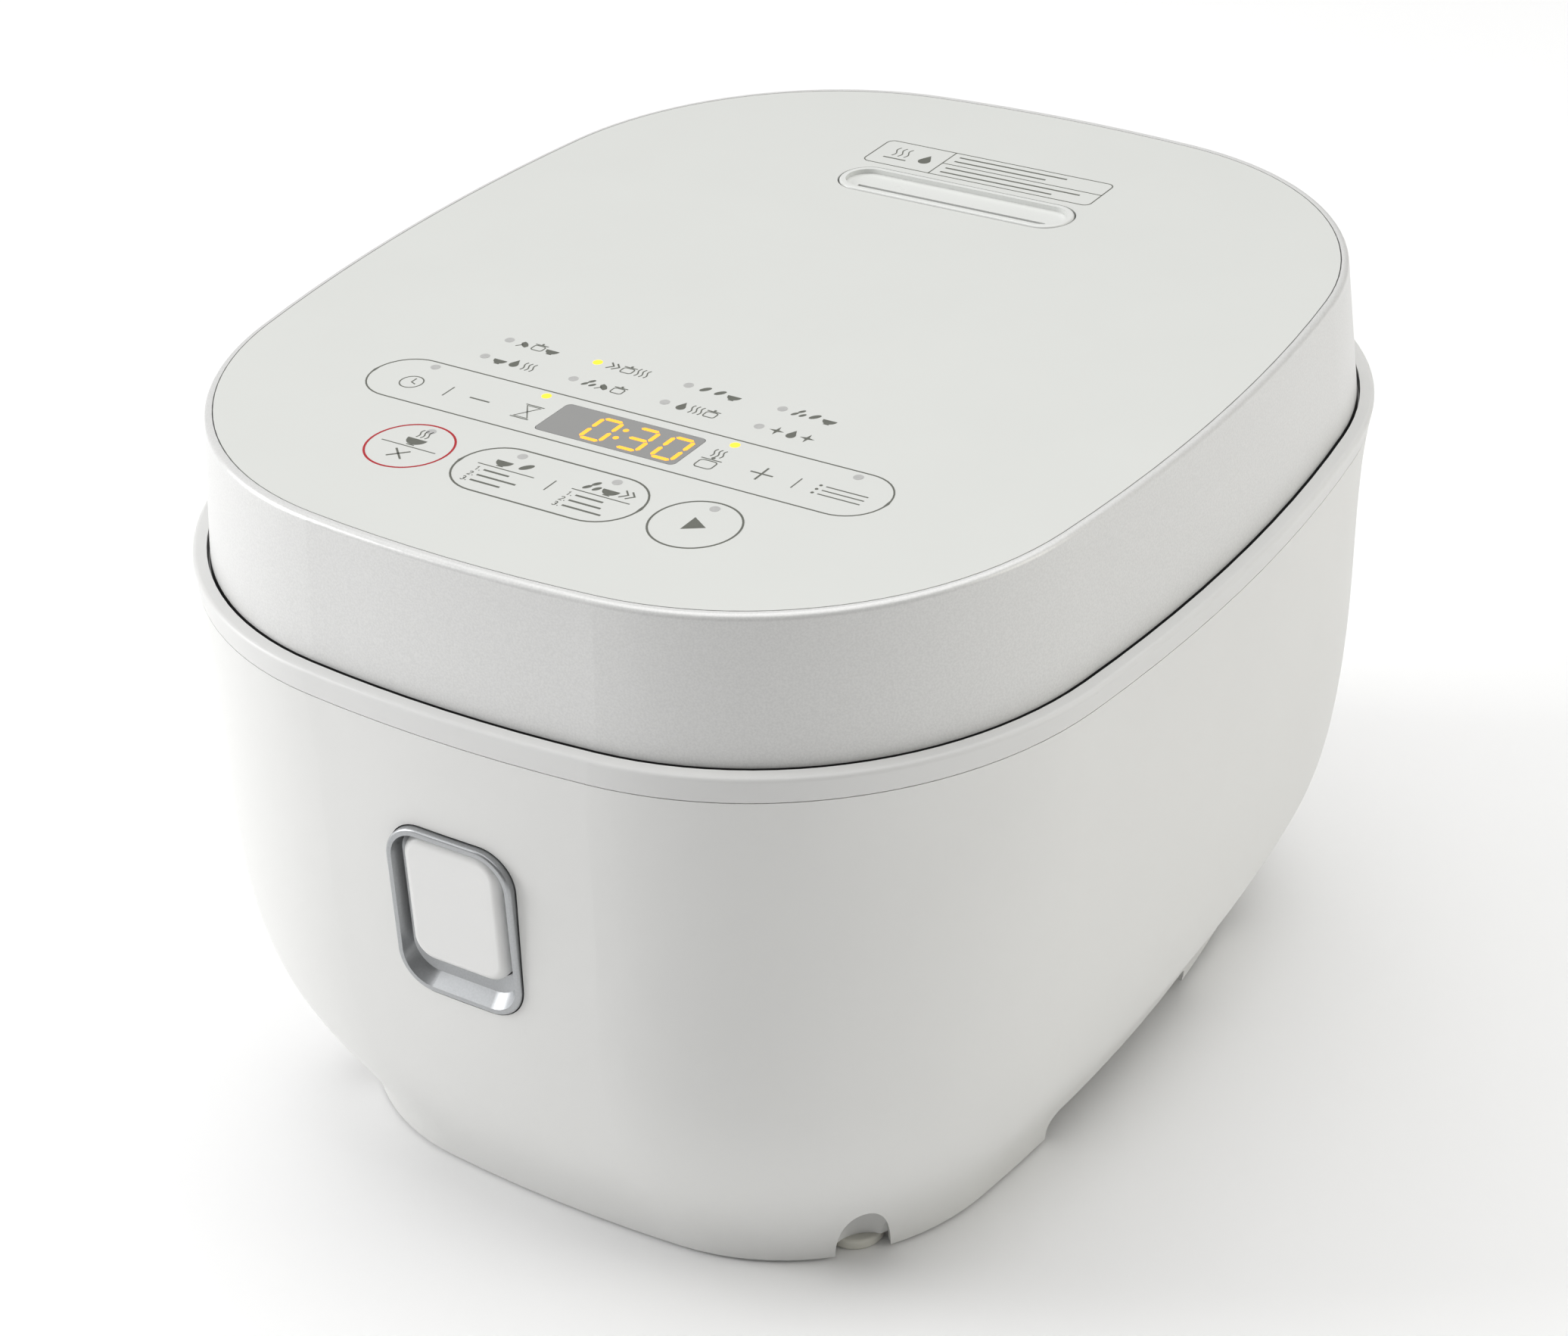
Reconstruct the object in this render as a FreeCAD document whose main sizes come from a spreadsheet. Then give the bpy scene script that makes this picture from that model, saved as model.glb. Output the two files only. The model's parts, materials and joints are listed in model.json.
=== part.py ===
"""Electric induction rice cooker with a hinged lid, as a parametric assembly.

The frame stands on the floor: +Z up, the front with the release button faces -Y, and +X is
to the right of a person who faces that front.  The origin is the centre of the bounding
box's bottom face.  All lengths are in millimetres.
"""
import FreeCAD, Part
import math
import os
import re
from types import SimpleNamespace
from FreeCAD import Placement, Rotation, Vector
import Sketcher

os.makedirs("parts", exist_ok=True)
doc = FreeCAD.newDocument("rice_cooker")

# ---------------------------------------------------------------------------------------
# Driving dimensions.  Every cell is a plain number that can be changed by itself.
# ---------------------------------------------------------------------------------------
SIZES = {
    # plan of the top panel: eight tangent arcs
    "panel_half_width": 118.0, "panel_half_depth": 139.1,
    "side_radius": 483.5, "front_radius": 387.3, "corner_radius": 82.9,
    # heights
    "total_height": 194.5, "lid_height": 35.6, "lid_gap": 0.4, "foot_drop": 0.9,
    # lid skirt and top panel
    "skirt_top_grow": 2.4, "skirt_bottom_grow": 5.7, "skirt_side_inset": 0.6, "skirt_tuck": 3.6,
    "skirt_wall": 2.4, "skirt_round": 1.4, "ledge_width": 6.0, "ledge_thickness": 2.0,
    "panel_thickness": 2.0, "panel_gap": 0.3,
    # rim ring and body shell
    "ring_grow": 9.95, "ring_height": 6.2, "ring_round": 1.1, "ring_clearance": 0.8,
    "parting_gap": 0.25, "shell_wall": 2.5, "forward_lean": 5.7,
    "deck_drop": 8.0, "deck_thickness": 2.5,
    "side_edge_lift": 7.5, "leg_lift": 1.6, "front_leg_y": -42.0, "rear_leg_y": 33.0,
    "rear_leg_end": 63.0, "notch_half_width": 7.1, "notch_height": 17.0,
    # cooking pot and what surrounds it
    "pot_side_space": 26.0, "pot_front_space": 39.1, "pot_rear_space": 42.0,
    "pot_wall": 2.2, "pot_floor_z": 50.0, "pot_round": 34.0, "pot_rim_width": 7.0,
    "case_gap": 3.0, "case_wall": 1.5, "case_flange": 6.0,
    "coil_wire_radius": 2.6, "coil_inner_radius": 29.0, "carrier_thickness": 2.0,
    # bottom
    "cover_thickness": 2.5, "cover_gap": 0.4, "cover_lift": 8.0,
    "rear_foot_radius": 12.0, "rear_foot_side_space": 33.4, "rear_foot_space": 34.0,
    "front_foot_radius": 7.5, "front_foot_side_space": 25.15, "front_foot_space": 28.65,
    "front_foot_height": 3.0, "foot_scallop_radius": 10.0, "foot_scallop_reach": 14.7,
    # release button
    "bezel_width": 36.0, "bezel_height": 45.5, "bezel_round": 9.5, "bezel_drop": 32.0,
    "bezel_proud": 0.8, "bezel_depth": 10.0, "bezel_rim": 1.6, "scoop_depth": 4.4,
    "button_width": 27.6, "button_height": 34.7, "button_round": 6.0, "button_gap": 0.35,
    "button_top_space": 2.3, "button_recess": 0.7, "button_travel": 3.0,
    # latch
    "latch_width": 16.0, "latch_pin_radius": 1.5, "latch_arm": 20.0, "running_gap": 0.05,
    "stem_half": 2.0,
    # hinge
    "hinge_lift": 1.0, "knuckle_radius": 4.0, "hinge_pin_radius": 2.0, "knuckle_gap": 0.6,
    "lid_knuckle_half": 13.5, "spring_bay": 8.5, "bracket_width": 14.0, "bracket_foot": 3.4,
    # steam vent
    "vent_half_length": 34.8, "vent_radius": 7.5, "vent_y": 79.7, "vent_gap": 0.45,
    "vent_depth": 12.5, "slit_width": 2.0, "slit_half_length": 28.5,
    # display
    "window_half_width": 20.0, "window_front": 80.4, "window_back": 65.9, "window_round": 1.5,
    "lens_gap": 0.15,
    "lamp_column": 26.7, "lamp_back_row": 44.8, "lamp_second_row": 54.8, "lamp_outer": 60.5,
    "lamp_window_row": 65.3, "key_lamp_row": 93.0, "key_lamp_inner": 13.4, "key_lamp_outer": 40.1,
    # inner lid
    "inner_lid_inset": 3.0, "inner_lid_sheet": 0.8, "seal_overlap": 5.0, "seal_gap": 0.3,
    # fan and boards
    "fan_half": 32.0, "fan_height": 13.0, "fan_x": -36.0, "fan_y": 45.0,
    "board_thickness": 1.6,
    # power inlet
    "inlet_half_width": 17.0, "inlet_low": 58.0, "inlet_high": 84.0, "inlet_length": 30.0,
    "inlet_seat_gap": 0.05,
}

# How far the body's outline is drawn in at stations down its height: name, share of the
# height from the rim to the base, then the cells for the width and the depth.
STATIONS = [
    ("rim", 0.0, 0.0, 0.0), ("collar", 0.15, 3.0, 0.7), ("waist", 0.38, 3.9, 1.0),
    ("hip", 0.56, 6.2, 2.2), ("knee", 0.75, 14.0, 11.4), ("heel", 0.90, 27.4, 24.8),
    ("base", 1.0, 33.1, 31.0),
]
for station, share, width_inset, depth_inset in STATIONS:
    SIZES[station + "_share"] = share
    SIZES[station + "_width_inset"] = width_inset
    SIZES[station + "_depth_inset"] = depth_inset

# Levels and places worked out from the driving dimensions.
LEVELS = {
    "panel_z": "total_height - panel_thickness",
    "ledge_z": "total_height - panel_thickness - ledge_thickness",
    "gap_z": "total_height - lid_height",
    "rim_z": "total_height - lid_height - lid_gap",
    "skirt_z": "total_height - lid_height - skirt_tuck",
    "parting_z": "total_height - lid_height - lid_gap - ring_height",
    "deck_z": "total_height - lid_height - lid_gap - deck_drop",
    "deck_low": "total_height - lid_height - lid_gap - deck_drop - deck_thickness",
    "base_z": "foot_drop",
    "cover_z": "foot_drop + cover_lift",
    "cover_top": "foot_drop + cover_lift + cover_thickness",
    "pot_radius": "min(panel_half_width - pot_side_space; (2 * panel_half_depth"
                  " - pot_front_space - pot_rear_space) / 2)",
    "pot_y": "pot_radius + pot_front_space - panel_half_depth",
    "pot_top": "deck_z + 2",
    "pot_outer": "pot_radius + pot_wall",
    "pot_rim": "pot_radius + pot_wall + pot_rim_width",
    "case_inner": "pot_radius + pot_wall + case_gap",
    "case_outer": "pot_radius + pot_wall + case_gap + case_wall",
    "case_rim": "pot_radius + pot_wall + case_gap + case_wall + case_flange",
    "case_floor": "pot_floor_z - case_gap",
    "carrier_top": "pot_floor_z - case_gap - case_wall - 2 * coil_wire_radius - 0.6",
    "carrier_low": "carrier_top - carrier_thickness",
    "lid_base_z": "gap_z - 2.2",
    "lid_base_top": "gap_z + 0.8",
    "inner_lid_radius": "pot_radius - inner_lid_inset",
    "seal_z": "pot_top + seal_gap",
    "bezel_top": "rim_z - bezel_drop",
    "bezel_low": "bezel_top - bezel_height",
    "bezel_y": "-(panel_half_depth + ring_grow) - 1.25 - bezel_proud",
    "button_top": "bezel_top - button_top_space",
    "button_low": "button_top - button_height",
    "button_y": "bezel_y + button_recess",
    "collar_y": "bezel_y + bezel_depth + running_gap",
    "case_screw_radius": "case_rim - 2.9",
    "latch_y": "bezel_y + 21.05",
    "latch_z": "rim_z - 30.5",
    "catch_y": "latch_y + 2",
    "hinge_z": "rim_z + hinge_lift",
    "hinge_y": "-bezel_y - knuckle_radius",
    "knuckle_space": "knuckle_radius + knuckle_gap",
    "bracket_near": "lid_knuckle_half + spring_bay",
    "bracket_far": "lid_knuckle_half + spring_bay + bracket_width",
}

sizes = doc.addObject("Spreadsheet::Sheet", "Sizes")
levels = doc.addObject("Spreadsheet::Sheet", "Levels")
OWNER = {name: "Sizes." for name in SIZES}


def formula(text):
    """Put the owning sheet in front of every size named in a sum such as 'rim_z - 3'."""
    return re.sub(r"[a-z][a-z_0-9]*", lambda word: OWNER.get(word.group(), "") + word.group(), str(text))


def fill_sheets():
    """Write both sheets and return every value as a plain attribute."""
    for row, (name, number) in enumerate(SIZES.items(), start=1):
        sizes.set(f"A{row}", name)
        sizes.set(f"B{row}", str(number))
        sizes.setAlias(f"B{row}", name)
    doc.recompute()
    for row, (name, text) in enumerate(LEVELS.items(), start=1):
        levels.set(f"A{row}", name)
        levels.set(f"B{row}", "=" + formula(text).replace("Levels.", ""))
        levels.setAlias(f"B{row}", name)
        OWNER[name] = "Levels."
    doc.recompute()
    values = {name: float(sizes.get(name)) for name in SIZES}
    values.update({name: float(levels.get(name)) for name in LEVELS})
    return SimpleNamespace(**values)


s = fill_sheets()
nodes = []
AXES = {"X": Vector(1, 0, 0), "Y": Vector(0, 1, 0), "Z": Vector(0, 0, 1)}


# ---------------------------------------------------------------------------------------
# Building blocks
# ---------------------------------------------------------------------------------------
def node(item, label):
    """Name a finished sub-part and list it for export."""
    item.Label = label
    nodes.append(item)
    return item


def bind(item, **rules):
    """Tie an object's properties to sums of sheet cells."""
    for prop, text in rules.items():
        item.setExpression(prop, formula(text))


def place(item, x, y, z):
    """Tie an object's position to sums of sheet cells."""
    for axis, text in (("x", x), ("y", y), ("z", z)):
        item.setExpression("Placement.Base." + axis, formula(text))


def box(x, y, z, name="block"):
    """A block between two corners: x, y and z are each a pair of sums."""
    item = doc.addObject("Part::Box", name)
    bind(item, Length=f"({x[1]}) - ({x[0]})", Width=f"({y[1]}) - ({y[0]})",
         Height=f"({z[1]}) - ({z[0]})")
    place(item, x[0], y[0], z[0])
    return item


def rod(radius, start, length, axis="Z", name="rod"):
    """A cylinder that starts at a point and runs along a row axis."""
    item = doc.addObject("Part::Cylinder", name)
    item.Placement = Placement(Vector(), Rotation(AXES["Z"], AXES[axis]))
    bind(item, Radius=radius, Height=length)
    place(item, *start)
    return item


def fuse(*pieces, name="joined"):
    item = doc.addObject("Part::MultiFuse", name)
    item.Shapes = list(pieces)
    item.Refine = True
    return item


def cut(base, *tools, name="cut"):
    item = doc.addObject("Part::Cut", name)
    item.Base = base
    item.Tool = tools[0] if len(tools) == 1 else fuse(*tools, name="cutters")
    item.Refine = True
    return item


def shaped(shape, label):
    """A sub-part whose shape is set directly."""
    item = doc.addObject("Part::Feature", label)
    item.Shape = shape
    return item


def rounded(base, radius, chosen, name="rounded"):
    """Round the edges of an object for which chosen(edge) is true."""
    doc.recompute()
    item = doc.addObject("Part::Fillet", name)
    item.Base = base
    item.Edges = [(index, radius, radius) for index, edge in enumerate(base.Shape.Edges, start=1)
                  if chosen(edge)]
    return item


def turned(points, label, x="0", y="0"):
    """A body of revolution: (radius, height) corners turned about a vertical axis."""
    body = doc.addObject("PartDesign::Body", label)
    sketch = body.newObject("Sketcher::SketchObject", label + "_profile")
    plane = next(item for item in body.Origin.OriginFeatures if item.Role == "XZ_Plane")
    sketch.AttachmentSupport = [(plane, "")]
    sketch.MapMode = "FlatFace"
    guess = [Vector(5 + 3 * math.cos(2 * math.pi * k / len(points)),
                    5 + 3 * math.sin(2 * math.pi * k / len(points)), 0) for k in range(len(points))]
    for k, start in enumerate(guess):
        sketch.addGeometry(Part.LineSegment(start, guess[(k + 1) % len(guess)]))
    for k in range(len(points)):
        sketch.addConstraint(Sketcher.Constraint("Coincident", k, 2, (k + 1) % len(points), 1))
    for k, corner in enumerate(points):
        for direction, text in zip(("DistanceX", "DistanceY"), corner):
            index = sketch.addConstraint(Sketcher.Constraint(direction, -1, 1, k, 1, 5.0))
            sketch.setExpression(f"Constraints[{index}]", formula(text))
    turn = body.newObject("PartDesign::Revolution", label + "_turn")
    turn.Profile = sketch
    turn.ReferenceAxis = (sketch, ["V_Axis"])
    turn.Angle = 360
    body.setExpression("Placement.Base.x", formula(x))
    body.setExpression("Placement.Base.y", formula(y))
    return body


def edge_round(body, radius, chosen):
    """Round chosen edges of a body with a PartDesign fillet."""
    doc.recompute()
    solid = body.Tip
    names = [f"Edge{index}" for index, edge in enumerate(solid.Shape.Edges, start=1) if chosen(edge)]
    fillet = body.newObject("PartDesign::Fillet", "round")
    fillet.Base = (solid, names)
    fillet.setExpression("Radius", formula(radius))
    body.Tip = fillet
    return body


def ring_edge(radius, height):
    """Choose the circular edge of a given radius and height."""
    def chosen(edge):
        room = edge.BoundBox
        level = abs(room.ZMin - height) < 0.01 and room.ZLength < 0.01
        return level and abs(room.XLength / 2 - radius) < 0.01
    return chosen


def upright_edge(edge):
    """Choose the edges that run straight up."""
    return edge.BoundBox.ZLength > 0.1 and edge.BoundBox.XLength + edge.BoundBox.YLength < 0.01


def outline(z, grow=0.0, inset=(0.0, 0.0), forward=0.0):
    """The plan outline as a wire: eight tangent arcs about the middle at y = -forward.

    It is the top panel's outline moved outward by `grow`, then drawn in by `inset`.
    """
    half_width = s.panel_half_width + grow - inset[0]
    half_depth = s.panel_half_depth + grow - inset[1]
    side = s.side_radius + grow
    front = s.front_radius + grow
    corner = s.corner_radius + grow - (inset[0] + inset[1]) / 2
    side_x = half_width - side
    front_y = half_depth - front
    # the corner arc's centre lies at (side - corner) from one centre, (front - corner) from the other
    reach, other = side - corner, front - corner
    apart = math.hypot(side_x, front_y)
    along = (reach ** 2 - other ** 2 + apart ** 2) / (2 * apart)
    across = math.sqrt(reach ** 2 - along ** 2)
    unit_x, unit_y = -side_x / apart, front_y / apart
    centre_x = side_x + unit_x * along - unit_y * across
    centre_y = unit_y * along + unit_x * across
    low = math.atan2(centre_y, centre_x - side_x)
    high = math.atan2(centre_y - front_y, centre_x)

    def corner_point(angle, sx, sy):
        return Vector(sx * (centre_x + corner * math.cos(angle)),
                      sy * (centre_y + corner * math.sin(angle)) - forward, z)

    middle = (low + high) / 2
    right, back = Vector(half_width, -forward, z), Vector(0, half_depth - forward, z)
    left, fore = Vector(-half_width, -forward, z), Vector(0, -half_depth - forward, z)
    arcs = []
    for start, through, end in (
        (corner_point(low, 1, -1), right, corner_point(low, 1, 1)),
        (corner_point(low, 1, 1), corner_point(middle, 1, 1), corner_point(high, 1, 1)),
        (corner_point(high, 1, 1), back, corner_point(high, -1, 1)),
        (corner_point(high, -1, 1), corner_point(middle, -1, 1), corner_point(low, -1, 1)),
        (corner_point(low, -1, 1), left, corner_point(low, -1, -1)),
        (corner_point(low, -1, -1), corner_point(middle, -1, -1), corner_point(high, -1, -1)),
        (corner_point(high, -1, -1), fore, corner_point(high, 1, -1)),
        (corner_point(high, 1, -1), corner_point(middle, 1, -1), corner_point(low, 1, -1)),
    ):
        arcs.append(Part.Arc(start, through, end).toShape())
    return Part.Wire(arcs)


def slab(low, high, grow, side_inset=0.0):
    """A straight-sided plate with the plan outline grown by `grow`."""
    return Part.Face(outline(low, grow, (side_inset, 0.0))).extrude(Vector(0, 0, high - low))


def between(low, high):
    """A wide block that keeps only what lies between two heights."""
    wide = 2 * s.panel_half_depth
    return Part.makeBox(2 * wide, 2 * wide, high - low, Vector(-wide, -wide, low))


def body_form(wall=0.0):
    """The tapered solid from the rim to the base, drawn in all round by `wall`."""
    height = s.rim_z - s.base_z
    wires = []
    for station, *rest in STATIONS:
        share = getattr(s, station + "_share")
        inset = (getattr(s, station + "_width_inset"), getattr(s, station + "_depth_inset"))
        wires.append(outline(s.rim_z - share * height, s.ring_grow - wall, inset, s.forward_lean * share))
    return Part.makeLoft(wires, True, False)


def capsule(half_length, radius, y, z):
    """A bar with round ends along X, between two heights."""
    ends = [rod(radius, (f"{side}(({half_length}) - ({radius}))", y, z[0]), f"({z[1]}) - ({z[0]})")
            for side in ("-", "+")]
    middle = box((f"-(({half_length}) - ({radius}))", f"({half_length}) - ({radius})"),
                 (f"({y}) - ({radius})", f"({y}) + ({radius})"), z)
    return fuse(ends[0], ends[1], middle, name="capsule")


def framed_wire(half_width, low, high, radius, y):
    """A rectangle with round corners, upright, in the plane at y."""
    corners = [(half_width, high), (-half_width, high), (-half_width, low), (half_width, low)]
    wire = Part.makePolygon([Vector(x, y, z) for x, z in corners + corners[:1]])
    face = Part.Face(wire).extrude(Vector(0, 1, 0))
    upright = [edge for edge in face.Edges
               if abs(edge.BoundBox.YLength - 1) < 1e-6 and edge.BoundBox.XLength < 1e-6]
    solid = face.makeFillet(radius, upright)
    flat = [f for f in solid.Faces if f.BoundBox.YLength < 1e-6 and abs(f.BoundBox.YMin - y) < 1e-6]
    return flat[0].OuterWire


def coil_spring(radius, wire, length, turns):
    """A round-wire helix standing on z = 0."""
    helix = Part.makeHelix(length / turns, length, radius)
    profile = Part.Wire(Part.makeCircle(wire, Vector(radius, 0, 0), Vector(0, 1, 0)))
    return Part.Wire(helix.Edges).makePipeShell([profile], True, True)


def moved(shape, x, y, z, axis="Z"):
    """A copy of a shape that stands on z = 0, turned onto a row axis and moved."""
    copy = shape.copy()
    copy.Placement = Placement(Vector(x, y, z), Rotation(AXES["Z"], AXES[axis]))
    return copy


def screws(places, shank_length, head_up, label, head_radius=2.8, shank_radius=1.25):
    """Identical pan-head screws; each place is (x, y, z of the seat)."""
    parts = []
    for x, y, z in places:
        direction = Vector(0, 0, -1 if head_up else 1)
        seat = Vector(x, y, z)
        head = Part.makeCylinder(head_radius, 1.6, seat, -direction)
        shank = Part.makeCylinder(shank_radius, shank_length, seat, direction)
        slot = Part.makeBox(4.0, 0.8, 1.6, Vector(x - 2, y - 0.4, z + (0.8 if head_up else -2.4)))
        parts.append(head.fuse(shank).cut(slot).removeSplitter())
    return node(shaped(Part.makeCompound(parts), label), label)


# ---------------------------------------------------------------------------------------
# Lid
# ---------------------------------------------------------------------------------------
def skirt_grow(z):
    """How far the skirt's outer face stands outside the panel's outline at a height."""
    slope = (s.skirt_bottom_grow - s.skirt_top_grow) / s.lid_height
    return s.skirt_top_grow + slope * (s.total_height - z)


def skirt_form(low, high, wall=0.0):
    """The drafted solid inside the skirt's outer face, drawn in by `wall`."""
    inset = (s.skirt_side_inset, 0.0)
    return Part.makeLoft([outline(z, skirt_grow(z) - wall, inset) for z in (low, high)], True, True)


def lid_screw_places(z):
    """Seats of the screws that hold the lid base up to the skirt's ledge."""
    x = s.panel_half_width - 5.0
    y = s.panel_half_depth - 5.0
    places = [(sx * x, sy * 45.0, z) for sx in (-1, 1) for sy in (-1, 1)]
    return places + [(sx * 58.0, sy * (y - 4.6), z) for sx in (-1, 1) for sy in (-1, 1)]


def knuckle_room():
    """The clear space round the hinge knuckles, a little longer than all of them together."""
    reach = s.bracket_far + 0.4
    return Part.makeCylinder(s.knuckle_space, 2 * reach, Vector(-reach, s.hinge_y, s.hinge_z), AXES["X"])


def make_lid_skirt():
    outer = skirt_form(s.skirt_z, s.total_height)
    top_edges = [edge for edge in outer.Edges if edge.BoundBox.ZMin > s.total_height - 0.01]
    outer = outer.makeFillet(s.skirt_round, top_edges)
    hollow = skirt_form(s.skirt_z, s.ledge_z, s.skirt_wall)
    skirt = outer.cut(hollow)
    skirt = skirt.cut(slab(s.ledge_z - 1, s.panel_z + 1, -s.ledge_width))
    skirt = skirt.cut(slab(s.panel_z, s.total_height + 1, s.panel_gap / 2))
    for x, y, z in lid_screw_places(s.lid_base_top):
        boss = Part.makeCylinder(3.6, s.ledge_z - z, Vector(x, y, z))
        pilot = Part.makeCylinder(1.3, 12.0, Vector(x, y, z))
        skirt = skirt.fuse(boss.cut(pilot))
    arm_room = Part.makeBox(2 * s.lid_knuckle_half + 1, 12, 4.2,
                            Vector(-s.lid_knuckle_half - 0.5, s.hinge_y - 8, s.lid_base_top - 0.6))
    skirt = skirt.cut(knuckle_room()).cut(arm_room).removeSplitter()
    return node(shaped(skirt, "lid_skirt"), "lid_skirt")


def make_top_panel():
    plate = shaped(slab(s.panel_z, s.total_height, -s.panel_gap / 2), "panel_blank")
    vent = capsule("vent_half_length + vent_gap", "vent_radius + vent_gap", "vent_y",
                   ("panel_z - 1", "total_height + 1"))
    window = box(("-window_half_width", "window_half_width"), ("-window_front", "-window_back"),
                 ("panel_z - 1", "total_height + 1"))
    return node(cut(plate, vent, rounded(window, s.window_round, upright_edge)), "top_panel")


def make_display():
    lens = box(("lens_gap - window_half_width", "window_half_width - lens_gap"),
               ("lens_gap - window_front", "-window_back - lens_gap"), ("panel_z", "total_height"))
    node(rounded(lens, s.window_round - s.lens_gap, upright_edge), "display_lens")
    module = box(("-window_half_width - 3", "window_half_width + 3"),
                 ("-window_front - 3", "3 - window_back"), ("panel_z - 8", "panel_z"))
    node(module, "display_module")
    board = box(("-74", "74"), ("-window_front - 36", "-window_back + 28"),
                ("panel_z - 8 - board_thickness", "panel_z - 8"))
    node(board, "control_board")
    guides = [moved(Part.makeCylinder(1.4, 8.0), x, y, s.panel_z - 8) for x, y in lamp_places()]
    node(shaped(Part.makeCompound(guides), "light_guides"), "light_guides")


def lamp_places():
    """Centres of the indicator lamps: four columns of programmes, then those of the keys."""
    programmes = [(column * s.lamp_column, -row) for column in (-2, -1, 0, 1)
                  for row in (s.lamp_back_row, s.lamp_second_row)]
    beside_window = [(side * x, -s.lamp_window_row) for x in (s.lamp_column, s.lamp_outer)
                     for side in (-1, 1)]
    keys = [(side * x, -s.key_lamp_row) for x in (s.key_lamp_inner, s.key_lamp_outer) for side in (-1, 1)]
    return programmes + beside_window + keys


def make_steam_vent():
    """Lift-out cap, the tray it sits in, its seal and the duct from the inner lid."""
    top = "total_height + 0.3"
    blank = capsule("vent_half_length", "vent_radius", "vent_y", ("total_height - vent_depth", top))
    edges_at_top = rounded(blank, 0.6, lambda edge: edge.BoundBox.ZMin > s.total_height + 0.29)
    dish = capsule("vent_half_length - 1.7", "vent_radius - 1.7", "vent_y",
                   ("total_height - 1", "total_height + 1"))
    hollow = capsule("vent_half_length - 1.8", "vent_radius - 1.8", "vent_y",
                     ("total_height - vent_depth - 1", "total_height - 2.8"))
    slit = box(("-slit_half_length", "slit_half_length"), ("vent_y - 4.2", "vent_y - 4.2 + slit_width"),
               ("total_height - 4", "total_height"))
    node(cut(edges_at_top, dish, hollow, slit), "steam_cap")

    floor = "total_height - vent_depth - 4.6"
    tray = capsule("vent_half_length + 2.4", "vent_radius + 2.4", "vent_y", (floor, "panel_z"))
    bore = capsule("vent_half_length + vent_gap", "vent_radius + vent_gap", "vent_y",
                   (floor + " + 2", "panel_z + 1"))
    drain = rod("3", ("0", "vent_y - 5.7", floor + " - 1"), "4")
    node(cut(tray, bore, drain), "steam_tray")

    seal = capsule("vent_half_length", "vent_radius", "vent_y", (floor + " + 2", floor + " + 4.3"))
    opening = capsule("vent_half_length - 2.6", "vent_radius - 2.6", "vent_y",
                      (floor + " + 1", floor + " + 5"))
    node(cut(seal, opening), "steam_cap_seal")

    outside = rod("4", ("0", "vent_y - 5.7", "lid_base_z - 0.2"), f"({floor}) - (lid_base_z - 0.2)")
    inside = rod("3", ("0", "vent_y - 5.7", "lid_base_z - 1"), f"({floor}) - lid_base_z + 2")
    node(cut(outside, inside), "steam_duct")


def make_lid_base():
    plate = slab(s.lid_base_z, s.lid_base_top, skirt_grow(s.lid_base_z) - s.skirt_wall - 0.4,
                 s.skirt_side_inset)
    duct = Part.makeCylinder(4.1, 8, Vector(0, s.vent_y - 5.7, s.lid_base_z - 2))
    plate = plate.cut(duct).cut(knuckle_room())
    for x, y, z in lid_screw_places(s.lid_base_z - 1):
        plate = plate.cut(Part.makeCylinder(1.5, 6, Vector(x, y, z)))
    node(shaped(plate, "lid_base"), "lid_base")
    screws(lid_screw_places(s.lid_base_z), 9.0, False, "lid_screws")


def make_hinge_arm():
    knuckle = rod("knuckle_radius", ("-lid_knuckle_half", "hinge_y", "hinge_z"), "2 * lid_knuckle_half", "X")
    bore = rod("hinge_pin_radius + running_gap", ("-lid_knuckle_half - 1", "hinge_y", "hinge_z"),
               "2 * lid_knuckle_half + 2", "X")
    strap = box(("-lid_knuckle_half", "lid_knuckle_half"), ("hinge_y - 27", "hinge_y"),
                ("lid_base_top", "lid_base_top + 2.6"))
    foot = box(("-28", "28"), ("hinge_y - 27", "hinge_y - 12"), ("lid_base_top", "lid_base_top + 2.6"))
    node(cut(fuse(knuckle, strap, foot), bore), "hinge_arm")


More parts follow.
